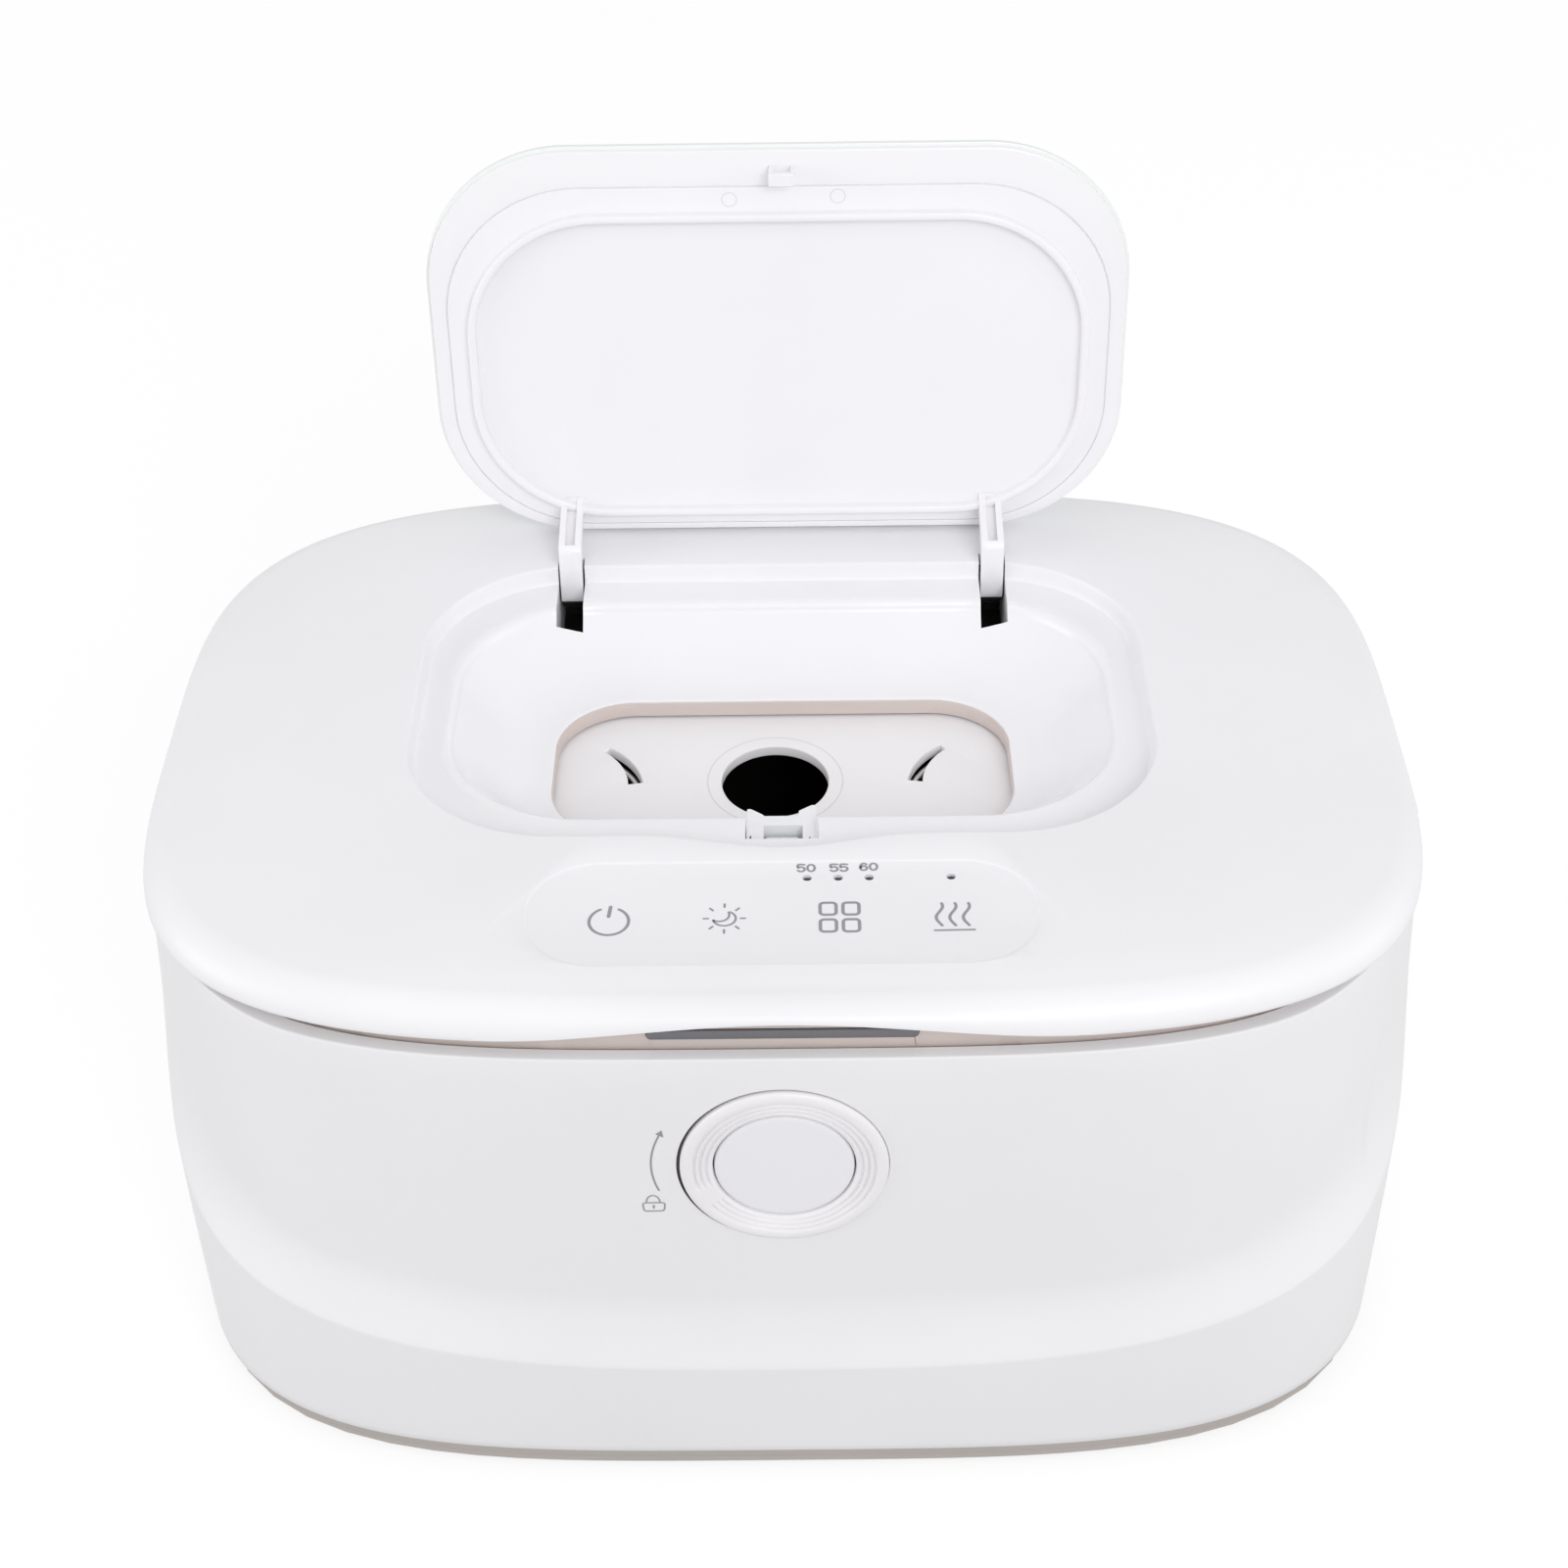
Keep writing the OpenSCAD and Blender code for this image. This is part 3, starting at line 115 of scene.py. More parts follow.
# Lift plate, its hole and its two springs
PLATE_Z, PLATE_TOP = 96.5, 98.9
PLATE_W, PLATE_D, PLATE_R = 184, 96, 14
PLATE_X, PLATE_Y, PLATE_EDGE = -1.5, 3.6, 0.35
HOLE_A, HOLE_B, HOLE_Y = 10.5, 11.55, 5.4
HALO_A, HALO_B = 13.3, 14.4
SICKLE_FROM, SICKLE_TO = 10, 57.5
SICKLE_OUT, SICKLE_IN = (17.2, 18.1), (14.3, 16.5)
SPRING_X, SPRING_Y, SPRING_R, WIRE = 43.1, 2.0, 16.9, 1.8
SPRING_FOOT, TURNS = 19.25, 9


def wall_a(z):
    """Half the tub's width at a height, and wall_b is half its depth."""
    return BODY_W / 2 - TAPER_W / 2 * np.maximum(0, 1 - (z - SHELL_Z) / (BELLY_Z - SHELL_Z)) ** 2.6


def wall_b(z):
    return BODY_D / 2 - TAPER_D / 2 * np.maximum(0, 1 - (z - SHELL_Z) / (TAPER_TOP - SHELL_Z)) ** 1.3


# Where the front panel lies at the lock's height, and how far it leans there
PANEL_SURFACE = -(wall_b(RING_Z) - INSET)
RING_TILT = math.atan((wall_b(RING_Z + 15) - wall_b(RING_Z - 15)) / 30)
# The frame's origin is the middle of the box, which reaches from the cover's front to the knuckles
FRAME_Y = -(HINGE[0] + KNUCKLE_R - COVER_D / 2) / 2


# Outlines
def smooth(t):
    s = np.clip(t, 0, 1)
    return s * s * (3 - 2 * s)


def fold(phi):
    """Angle from the middle of the front, the same to either side."""
    phi = np.mod(phi, 360)
    return np.where(phi > 180, 360 - phi, phi)


def outline(phi, a, b, z):
    """Plan outline of the tub and cover: a rounded rectangle with bowed sides."""
    s, c = np.sin(np.radians(phi)), np.cos(np.radians(phi))
    n = PLAN_POWER + PLAN_BOW * c
    r = ((np.abs(s) / a) ** n + (np.abs(c) / b) ** n) ** (-1 / n)
    return np.stack([r * s, -r * c, np.broadcast_to(z, phi.shape)], -1)


def rrect(phi, w, d, r, yc, z):
    """Rounded rectangle in polar form, so that rows of it loft column by column."""
    a, b = w / 2, d / 2
    s, c = np.sin(np.radians(phi)), np.cos(np.radians(phi))
    sx, sy = np.abs(s), np.abs(c)
    m = (a - r) * sx + (b - r) * sy
    corner = m + np.sqrt(np.maximum(0, m * m - (a - r) ** 2 - (b - r) ** 2 + r * r))
    q = np.where(a * sy <= (b - r) * sx, a / np.maximum(sx, 1e-9),
                 np.where(b * sx <= (a - r) * sy, b / np.maximum(sy, 1e-9), corner))
    return np.stack([q * s, yc - q * c, np.broadcast_to(z, phi.shape)], -1)


def corner_sum(u, v, p):
    return (np.maximum(0, u) ** p + np.maximum(0, v) ** p) ** (1 / p)


def scoop(phi, z):
    """How far the front is scooped at a point: 0 outside the crease, 1 on the flat panel."""
    f, down = fold(phi), RIM_Z - z
    out = corner_sum(f / CREASE_ANGLE, down / (RIM_Z - CREASE_Z), CREASE_POWER)
    inn = corner_sum(f / PANEL_ANGLE, down / (RIM_Z - CREASE_Z - LEDGE_H), PANEL_POWER)
    g = np.where(out >= 1, 0, np.where(inn <= 1, 1, (1 - out) / np.maximum(1e-9, inn - out)))
    return g * g / (g + 0.025) * 1.025


def body_row(phi, z, depth):
    """A row of the tub's wall, at a depth under its outer face."""
    g = scoop(phi, z)
    tuck = TUCK * np.maximum(0, (z - BELLY_Z) / (RIM_Z - BELLY_Z)) ** 2
    i = INSET * (1 - (1 - g) ** 2) + tuck * (1 - g) + depth
    return outline(phi, wall_a(z) - i, wall_b(z) - i, z)


def arch(f, width, height, p):
    """Height of the crease or of the panel's edge at an angle from the middle of the front."""
    return RIM_Z - height * np.maximum(0, 1 - np.minimum(1, f / width) ** p) ** (1 / p)


def cover_lift(phi):
    """The wave in the middle of the cover's front edge."""
    x = np.abs(outline(phi, COVER_W / 2, COVER_D / 2, 0.0)[:, 0])
    lift = WAVE_H * np.cos(np.radians(np.minimum(90, 90 * x / WAVE_HALF))) ** 2
    return np.where(fold(phi) > 90, 0, lift)


def cover_row(phi, inset, z, share):
    """A row of the cover, lifted by a share of the wave."""
    return outline(phi, COVER_W / 2 - inset, COVER_D / 2 - inset, z + share * cover_lift(phi))


def bumped(row, size):
    """Moves the middle of a row's front forwards, for the finger notch of the seat."""
    x = np.abs(row[:, 0])
    push = size * np.cos(np.radians(np.minimum(90, 90 * x / BUMP_HALF))) ** 2
    row = row.copy()
    row[:, 1] -= np.where((row[:, 1] < 0) & (x < BUMP_HALF), push, 0)
    return row


def even(n, extra=()):
    """Angles round an outline, closer together over the given spans on either side."""
    a = [np.linspace(0, 360, n, endpoint=False)]
    for low, high, step in extra:
        a += [np.arange(low, high, step), 360 - np.arange(low, high, step)]
    return np.unique(np.round(np.concatenate(a), 3))


def curve_through(points, shares):
    """Points of a smooth curve through the given ones, at the given shares of each span."""
    p = [np.array(q, float) for q in points]
    out = []
    for k in range(len(p) - 1):
        a, b, c, d = p[max(0, k - 1)], p[k], p[k + 1], p[min(len(p) - 1, k + 2)]
        for t in shares:
            out.append(0.5 * (2 * b + (c - a) * t + (2 * a - 5 * b + 4 * c - d) * t * t
                              + (3 * b - a - 3 * c + d) * t ** 3))
    return out


def round_corners(points, radius, steps=5):
    """Replaces each corner of an outline by a small curve."""
    p = np.asarray(points, float)
    out = []
    for k in range(len(p)):
        a, b, c = p[k - 1], p[k], p[(k + 1) % len(p)]
        la, lc = np.linalg.norm(a - b), np.linalg.norm(c - b)
        u = b + (a - b) / la * min(radius, 0.45 * la)
        v = b + (c - b) / lc * min(radius, 0.45 * lc)
        for t in np.linspace(0, 1, steps):
            out.append((1 - t) ** 2 * u + 2 * t * (1 - t) * b + t * t * v)
    return np.array(out)


# Mesh helpers
def new_object(name, points, faces, sharp=40):
    """A mesh object from points in millimetres, moved into the frame."""
    pts = np.asarray(points, float).reshape(-1, 3) * 0.001
    pts[:, 1] += FRAME_Y * 0.001
    mesh = bpy.data.meshes.new(name)
    mesh.from_pydata(pts.tolist(), [], [tuple(int(i) for i in f) for f in faces])
    mesh.update()
    bm = bmesh.new()
    bm.from_mesh(mesh)
    bmesh.ops.recalc_face_normals(bm, faces=bm.faces)
    bm.to_mesh(mesh)
    bm.free()
    obj = bpy.data.objects.new(name, mesh)
    scene.collection.objects.link(obj)
    shade(obj, sharp)
    return obj


def shade(obj, sharp=40):
    obj.data.shade_smooth()
    obj.data.set_sharp_from_angle(angle=math.radians(sharp))


def loft_faces(rows, n, loop):
    faces = []
    for k in range(rows if loop else rows - 1):
        a, b = k * n, ((k + 1) % rows) * n
        faces += [(a + i, a + (i + 1) % n, b + (i + 1) % n, b + i) for i in range(n)]
    return faces


def skin(name, rows, loop=True, sharp=40):
    """A surface lofted through rows of points: closed both ways, or capped at both ends."""
    rows = [np.asarray(r, float) for r in rows]
    n = len(rows[0])
    faces = loft_faces(len(rows), n, loop)
    if not loop:
        faces += [tuple(range(n)), tuple(range((len(rows) - 1) * n, len(rows) * n))]
    return new_object(name, np.concatenate(rows), faces, sharp)


def lathe(name, profile, steps, place):
    """A profile of (radius, height) from axis to axis, turned round Z."""
    angles = np.linspace(0, 2 * math.pi, steps, endpoint=False)
    rows = [np.stack([r * np.cos(angles), r * np.sin(angles), np.full(steps, h)], -1)
            for r, h in profile[1:-1]]
    pts = np.concatenate(rows + [[[0, 0, profile[0][1]], [0, 0, profile[-1][1]]]])
    faces = loft_faces(len(rows), steps, False)
    top, last = (len(rows) - 1) * steps, len(rows) * steps
    faces += [(i, (i + 1) % steps, last) for i in range(steps)]
    faces += [(top + i, top + (i + 1) % steps, last + 1) for i in range(steps)]
    return new_object(name, place(pts), faces, 30)


def extrude(name, poly, low, high, place=None, bevel=0.0):
    """A flat outline drawn up from low to high, with rounded edges."""
    poly = np.asarray(poly, float)
    n = len(poly)
    pts = np.concatenate([np.column_stack([poly, np.full(n, h)]) for h in (low, high)])
    if place is not None:
        pts = place(pts)
    faces = [tuple(range(n)), tuple(range(n, 2 * n))]
    faces += [(i, (i + 1) % n, n + (i + 1) % n, n + i) for i in range(n)]
    obj = new_object(name, pts, faces, 35)
    if bevel:
        round_edges(obj, bevel)
    return obj


def round_edges(obj, width, segments=3, angle=30, weld=False):
    """Bevel as a modifier that stays on the piece."""
    if weld:
        w = obj.modifiers.new("weld", "WELD")
        w.merge_threshold = 1e-5
    b = obj.modifiers.new("bevel", "BEVEL")
    b.width = width * 0.001
    b.segments = segments
    b.limit_method = "ANGLE"
    b.angle_limit = math.radians(angle)
    b.harden_normals = False
    b.use_clamp_overlap = True


def settle(obj, sharp=35):
    """Applies the modifiers."""
    dg = bpy.context.evaluated_depsgraph_get()
    mesh = bpy.data.meshes.new_from_object(obj.evaluated_get(dg))
    obj.modifiers.clear()
    obj.data = mesh
    shade(obj, sharp)


def cut(obj, tools, sharp=35):
    """Takes the tools' solids away from a piece, and the tools with them."""
    for t in tools:
        m = obj.modifiers.new("cut", "BOOLEAN")
        m.operation = "DIFFERENCE"
        m.solver = "EXACT"
        m.object = t
    settle(obj, sharp)
    for t in tools:
        bpy.data.objects.remove(t)


def block_tool(x0, x1, y0, y1, z0, z1):
    return extrude("tool", [(x0, y0), (x1, y0), (x1, y1), (x0, y1)], z0, z1)


def disc_poly(r, steps=64, x=0.0, y=0.0):
    a = np.linspace(0, 2 * math.pi, steps, endpoint=False)
    return np.column_stack([x + r * np.cos(a), y + r * np.sin(a)])


def rrect_poly(w, d, r, steps=12, x=0.0, y=0.0):
    pts = []
    for cx, cy, start in ((1, 1, 0), (-1, 1, 90), (-1, -1, 180), (1, -1, 270)):
        for k in range(steps + 1):
            a = math.radians(start + 90 * k / steps)
            pts.append((x + cx * (w / 2 - r) + r * math.cos(a), y + cy * (d / 2 - r) + r * math.sin(a)))
    return np.array(pts)


def along_x(x):
    """Puts an outline drawn in (y, z) across the part, starting at x."""
    return lambda p: np.column_stack([x + p[:, 2], p[:, 0], p[:, 1]])


def on_panel(p):
    """The front lock's own frame: its Z points straight out of the tilted panel."""
    t = math.radians(90) + RING_TILT
    c, s = math.cos(t), math.sin(t)
    return np.column_stack([p[:, 0], PANEL_SURFACE + p[:, 1] * c - p[:, 2] * s,
                            RING_Z + p[:, 1] * s + p[:, 2] * c])


def lid_open(p):
    """Turns points of the closed lid a quarter turn open about its hinge."""
    p = np.asarray(p, float)
    dy, dz = p[..., 1] - LID_PIVOT[0], p[..., 2] - LID_PIVOT[1]
    return np.stack([p[..., 0], LID_PIVOT[0] + dz, LID_PIVOT[1] - dy], -1)


def ribbon(points, width, closed=False):
    """A flat stroke of even width along 2D points, with round ends of a few steps."""
    cap = 5
    p = np.asarray(points, float)
    n = len(p)
    if closed:
        t = np.roll(p, -1, 0) - np.roll(p, 1, 0)
    else:
        t = np.gradient(p, axis=0)
    t /= np.linalg.norm(t, axis=1)[:, None]
    side = np.column_stack([-t[:, 1], t[:, 0]]) * width / 2
    left, right = p + side, p - side
    if closed:
        verts = np.concatenate([left, right])
        faces = [(i, (i + 1) % n, n + (i + 1) % n, n + i) for i in range(n)]
        return verts, faces
    ends = []
    for at, s in ((p[-1], side[-1]), (p[0], -side[0])):
        for k in range(1, cap):
            a = -math.pi * k / cap
            ends.append(at + np.array([s[0] * math.cos(a) - s[1] * math.sin(a),
                                       s[0] * math.sin(a) + s[1] * math.cos(a)]))
    ends = np.array(ends)
    verts = np.concatenate([left, ends[:cap - 1], right[::-1], ends[cap - 1:]])
    quads = [(i, i + 1, n + cap - 1 + n - 2 - i, n + cap - 1 + n - 1 - i) for i in range(n - 1)]
    far = tuple([n - 1] + list(range(n, n + cap - 1)) + [n + cap - 1])
    near = tuple([2 * n + cap - 2] + list(range(2 * n + cap - 1, 2 * n + 2 * cap - 2)) + [0])
    return verts, quads + [far, near]


def marks(name, strokes, place):
    """Printed marks and thin lines of painted shade: thin flat faces lying just above a surface."""
    pts, faces = [], []
    for verts, fs in strokes:
        base = sum(len(v) for v in pts)
        pts.append(np.asarray(verts))
        faces += [tuple(i + base for i in f) for f in fs]
    plan = np.concatenate(pts)
    return new_object(name, place(np.column_stack([plan, np.zeros(len(plan))])), faces)


def arc(cx, cy, r, a0, a1, steps=24, ry=None):
    a = np.radians(np.linspace(a0, a1, steps))
    return np.column_stack([cx + r * np.cos(a), cy + (ry or r) * np.sin(a)])


def line(x0, y0, x1, y1):
    return np.column_stack([np.linspace(x0, x1, 3), np.linspace(y0, y1, 3)])


def filled(points):
    return np.asarray(points, float), [tuple(range(len(points)))]


# Materials
def linear(rgb):
    return tuple((c / 12.92 if c <= 0.04045 else ((c + 0.055) / 1.055) ** 2.4) for c in
                 (v / 255 for v in rgb))


def material(name, rgb, rough=0.4, vary=0.012, grain=0.02, size=900.0, coat=0.0, metal=0.0,
             through=0.0, wear=0.0, swing=0.06):
    """Moulded plastic and the like: a faint unevenness in colour, gloss and surface.

    vary is the unevenness of the colour, swing that of the gloss, grain the depth of the fine bump and
    size its fineness. wear makes the edges paler, and through lets light pass.
    """
    m = bpy.data.materials.new(name)
    m.use_nodes = True
    t = m.node_tree
    b = t.nodes["Principled BSDF"]
    link = t.links.new

    def node(kind, **values):
        n = t.nodes.new(kind)
        for k, v in values.items():
            n.inputs[k].default_value = v
        return n

    place = t.nodes.new("ShaderNodeTexCoord")
    flow = node("ShaderNodeTexNoise", Scale=22.0, Detail=3.0, Roughness=0.55)
    fine = node("ShaderNodeTexNoise", Scale=size, Detail=2.0, Roughness=0.6)
    for n in (flow, fine):
        link(place.outputs["Object"], n.inputs["Vector"])
    base = np.array(linear(rgb))
    ramp = t.nodes.new("ShaderNodeValToRGB")
    ramp.color_ramp.elements[0].position = 0.3
    ramp.color_ramp.elements[1].position = 0.7
    ramp.color_ramp.elements[0].color = (*np.clip(base * (1 - vary), 0, 1), 1)
    ramp.color_ramp.elements[1].color = (*np.clip(base * (1 + vary), 0, 1), 1)
    link(flow.outputs["Fac"], ramp.inputs["Fac"])
    colour = ramp.outputs["Color"]
    if wear:
        edge = t.nodes.new("ShaderNodeNewGeometry")
        pick = node("ShaderNodeMapRange")
        pick.inputs["From Min"].default_value = 0.5
        pick.inputs["From Max"].default_value = 0.62
        pick.inputs["To Max"].default_value = wear
        link(edge.outputs["Pointiness"], pick.inputs["Value"])
        mix = t.nodes.new("ShaderNodeMix")
        mix.data_type = "RGBA"
        link(pick.outputs["Result"], mix.inputs["Factor"])
        link(colour, mix.inputs["A"])
        mix.inputs["B"].default_value = (*np.clip(base * 1.2 + 0.02, 0, 1), 1)
        colour = mix.outputs["Result"]
    link(colour, b.inputs["Base Color"])
    gloss = node("ShaderNodeMapRange")
    gloss.inputs["To Min"].default_value = max(0.02, rough - swing)
    gloss.inputs["To Max"].default_value = min(1, rough + swing)
    link(flow.outputs["Fac"], gloss.inputs["Value"])
    link(gloss.outputs["Result"], b.inputs["Roughness"])
    bump = node("ShaderNodeBump", Strength=grain, Distance=0.0002)
    link(fine.outputs["Fac"], bump.inputs["Height"])
    link(bump.outputs["Normal"], b.inputs["Normal"])
    b.inputs["Metallic"].default_value = metal
    b.inputs["Coat Weight"].default_value = coat
    b.inputs["Coat Roughness"].default_value = 0.08
    b.inputs["Transmission Weight"].default_value = through
    b.inputs["IOR"].default_value = 1.49
    return m


SATIN = material("cover_satin", (236, 236, 239), 0.42, grain=0.05, size=2600)
GLOSS = material("bowl_gloss", (238, 237, 240), 0.2, grain=0.01, size=700, swing=0.03)
TUB = material("tub_satin", (233, 232, 234), 0.46, grain=0.05, size=2600)
LID_WHITE = material("lid_gloss", (240, 239, 242), 0.22, grain=0.01, size=700, swing=0.03)
LID_EDGE = material("lid_outer", (235, 239, 237), 0.3, grain=0.02, size=900)
RING = material("ring_satin", (234, 232, 234), 0.3, grain=0.03, size=1800)
BUTTON = material("button_satin", (232, 231, 235), 0.4, grain=0.04, size=2400)
PLATE = material("plate_white", (236, 234, 236), 0.32, grain=0.03, size=1600)
TAUPE = material("frame_taupe", (208, 196, 191), 0.45, vary=0.02, grain=0.06, size=2200)
PAN = material("pan_taupe", (180, 173, 169), 0.5, vary=0.02, grain=0.08, size=2000)
TANK = material("tank_black", (44, 42, 40), 0.55, vary=0.15, grain=0.15, size=1500)
STEEL = material("spring_steel", (196, 194, 190), 0.22, vary=0.06, grain=0.06, size=1200, metal=1)
SCREW = material("screw_steel", (160, 158, 156), 0.35, vary=0.08, grain=0.1, size=1500, metal=1)
RUBBER = material("foot_rubber", (70, 70, 72), 0.8, vary=0.06, grain=0.3, size=1800, wear=0.1)
SEAL = material("seal_silicone", (206, 205, 204), 0.6, vary=0.02, grain=0.08, size=1400)
BOARD = material("board_green", (32, 92, 58), 0.4, vary=0.12, grain=0.1, size=600, coat=0.3)
CHIP = material("chip_black", (30, 30, 32), 0.5, vary=0.1, grain=0.2, size=1200)
FOIL = material("heater_foil", (196, 132, 64), 0.4, vary=0.08, grain=0.15, size=500, coat=0.2)
FOAM = material("pad_foam", (150, 150, 150), 0.95, vary=0.06, grain=0.6, size=700)
SMOKED = material("smoked_window", (104, 103, 108), 0.18, vary=0.04, grain=0.02, coat=0.4)
CLEAR = material("latch_clear", (236, 243, 238), 0.16, grain=0.02, through=0.1)
MARK = material("printed_grey", (148, 148, 153), 0.55, vary=0.03, grain=0.05, size=1500)
LENS = material("lamp_lens", (62, 62, 64), 0.3, vary=0.05, grain=0.03)
SHADE = material("deep_shade", (40, 36, 34), 0.7, vary=0.1, grain=0.1, size=1500)
RECESS = material("recess_shade", (112, 104, 100), 0.6, vary=0.05, grain=0.05, size=1500)
# A faint grey for thin lines of painted shade: the ejector marks and the ring round the plate's hole
FAINT_SHADE = material("faint_painted_shade", (214, 212, 214), 0.4, grain=0.03, size=1500)
DARK = material("jack_black", (38, 37, 38), 0.45, vary=0.1, grain=0.15, size=1500, wear=0.15)


def dress(obj, mat, body, nodes=()):
    """Gives a new piece its material and body, and hides the CAD solids that it stands for."""
    obj.data.materials.clear()
    obj.data.materials.append(mat)
    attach(obj, body)
    if nodes:
        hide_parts(*nodes)


def second_material(obj, mat, choose):
    """Gives the faces that choose picks, by centre in millimetres and normal, another material."""
    obj.data.materials.append(mat)
    index = len(obj.data.materials) - 1
    for p in obj.data.polygons:
        c = np.array(p.center) * 1000
        c[1] -= FRAME_Y
        if choose(c, p.normal):
            p.material_index = index


# Camera, as worked out from the photograph: turn, tilt and roll in radians, place in millimetres
TURN, TILT, ROLL = 0.0080326, 0.6399946, -0.0152301
CAMERA_LENS, CAMERA_SENSOR = 65.376, 36
CAMERA_SPOT = (3.833, -445.062 + FRAME_Y, 433.422)

level = Vector((math.cos(TURN), math.sin(TURN), 0))
look = Vector((-math.sin(TURN) * math.cos(TILT), math.cos(TURN) * math.cos(TILT), -math.sin(TILT)))
upright = Vector((-math.sin(TURN) * math.sin(TILT), math.cos(TURN) * math.sin(TILT), math.cos(TILT)))
right = math.cos(ROLL) * level + math.sin(ROLL) * upright
up = -math.sin(ROLL) * level + math.cos(ROLL) * upright
lens = bpy.data.cameras.new("view")
lens.sensor_width = CAMERA_SENSOR
lens.sensor_fit = "HORIZONTAL"
lens.lens = CAMERA_LENS
lens.clip_start = 0.01
camera = bpy.data.objects.new("view", lens)
scene.collection.objects.link(camera)
spot = Vector(CAMERA_SPOT) * 0.001
camera.matrix_world = Matrix((
    (right.x, up.x, -look.x, spot.x),
    (right.y, up.y, -look.y, spot.y),
    (right.z, up.z, -look.z, spot.z),
    (0, 0, 0, 1)))
scene.camera = camera

# Tub. Its rows follow the crease and the panel's edge, with more points where the crease runs steep
phi = even(264, [(66, 84, 0.25)])
crease = np.minimum(RIM_Z - 14, arch(fold(phi), CREASE_ANGLE, RIM_Z - CREASE_Z, CREASE_POWER))
panel = arch(fold(phi), PANEL_ANGLE, RIM_Z - CREASE_Z - LEDGE_H, PANEL_POWER)
panel = np.maximum(crease + 4, np.minimum(RIM_Z - 9, panel))
front = 1 - smooth((fold(phi) - DROP_ANGLE) / DROP_BLEND)
rim = RIM_Z - PANEL_DROP * front
rows = [body_row(phi, np.full(len(phi), SHELL_Z) + dz, d) for dz, d in
        ((0, WALL), (0, 0.6), (0.15, 0.2), (0.5, 0.0))]
for t in (0.06, 0.2, 0.4, 0.6, 0.78, 0.9, 0.96, 0.985, 1):
    rows.append(body_row(phi, SHELL_Z + 0.5 + (crease - SHELL_Z - 0.5) * t, 0))
for t in (0.012, 0.03, 0.055, 0.09, 0.14, 0.2, 0.28, 0.37, 0.47, 0.58, 0.7, 0.82, 0.92, 1):
    rows.append(body_row(phi, crease + (panel - crease) * t, 0))
for t in (0.15, 0.3, 0.45, 0.6, 0.75, 0.9, 1):
    rows.append(body_row(phi, panel + (rim - 0.5 - panel) * t, 0))
lip = 0.8 * front
for dz, d in ((0.22, 0.05), (0.07, 0.18), (0, 0.42), (0, WALL - 0.4 + lip), (0.4, WALL + lip),
              (2, WALL + lip)):
    rows.append(body_row(phi, rim - dz, d))
# Down the inside, over the ledge that carries the tank, to the floor
for z in (TANK_LEDGE_Z + 2.8, TANK_LEDGE_Z):
    rows.append(body_row(phi, np.full(len(phi), z), WALL))
for z in (TANK_LEDGE_Z, TANK_LEDGE_Z - 2):
    rows.append(outline(phi, COVER_W / 2 - TANK_LEDGE_IN, COVER_D / 2 - TANK_LEDGE_IN, z))
for z in (TANK_LEDGE_Z - 3, 84, 72, 60, 45, 30, 12):
    rows.append(body_row(phi, np.full(len(phi), float(z)), WALL))
tub = skin("tub", rows)
# Hole and recess of the lock ring, notches for the hinge, hole of the power inlet
tools = [extrude("tool", disc_poly(COLLAR_R + LOCK_GAP, 96), -WALL - 4, 6, on_panel),
         extrude("tool", disc_poly(RECESS_R, 160, RECESS_X), -RING_SINK - LOCK_GAP, 6, on_panel)]
for s in (-1, 1):
    tools.append(block_tool(s * HINGE_X - NOTCH_HALF, s * HINGE_X + NOTCH_HALF, COVER_D / 2 - 4,
                            COVER_D / 2 + 8, HINGE[1] - KNUCKLE_R - 0.8, RIM_Z + 1))
tools.append(extrude("tool", disc_poly(JACK_R, 48, JACK_X, JACK_Z), 40, 95,
                     lambda p: np.column_stack([p[:, 0], p[:, 2], p[:, 1]])))
cut(tub, tools)
dress(tub, TUB, "base", ["body_shell"])


def lock_depth(c):
    """How far a point lies in front of the panel, near the lock."""
    return -(c[1] - PANEL_SURFACE) * math.cos(RING_TILT) - (c[2] - RING_Z) * math.sin(RING_TILT)


def in_recess(c, n):
    near = math.hypot(c[0], c[2] - RING_Z) < RING_R + 0.9
    return near and c[1] < 0 and lock_depth(c) < -0.2


second_material(tub, RECESS, in_recess)

# Lugs of the cover hinge
hinge_y, hinge_z = HINGE


def knuckle_arc(a0, a1, steps):
    return arc(hinge_y, hinge_z, KNUCKLE_R, a0, a1, steps).tolist()


lug_side = [(hinge_y - 6.6, hinge_z - 9), (hinge_y - 2.2, hinge_z - 9), *knuckle_arc(-30, 180, 22),
            (hinge_y - 6.6, hinge_z - 3)]
for s in (-1, 1):
    for e in (-1, 1):
        lug = extrude("hinge_lug", lug_side, -LUG_HALF, LUG_HALF, along_x(s * HINGE_X + e * LUG_X), 0.35)
        dress(lug, TUB, "base")

# Base tray, as rows of (inset from the tub's foot, height)
phi = even(240)
rows = []
for i, z in ((5.5, FOOT_GAP), (2.4, FOOT_GAP), (2.0, 1.3), (1.4, 1.9), (1.1, 2.6), (1.1, 5.0),
             (1.4, SHELL_Z), (4.2, SHELL_Z), (4.4, 8.0), (5.4, 8.0), (5.4, 3.2)):
    rows.append(outline(phi, wall_a(SHELL_Z) - i, wall_b(SHELL_Z) - i, z))
tray_edge = skin("tray_edge", rows)
dress(tray_edge, PAN, "base")

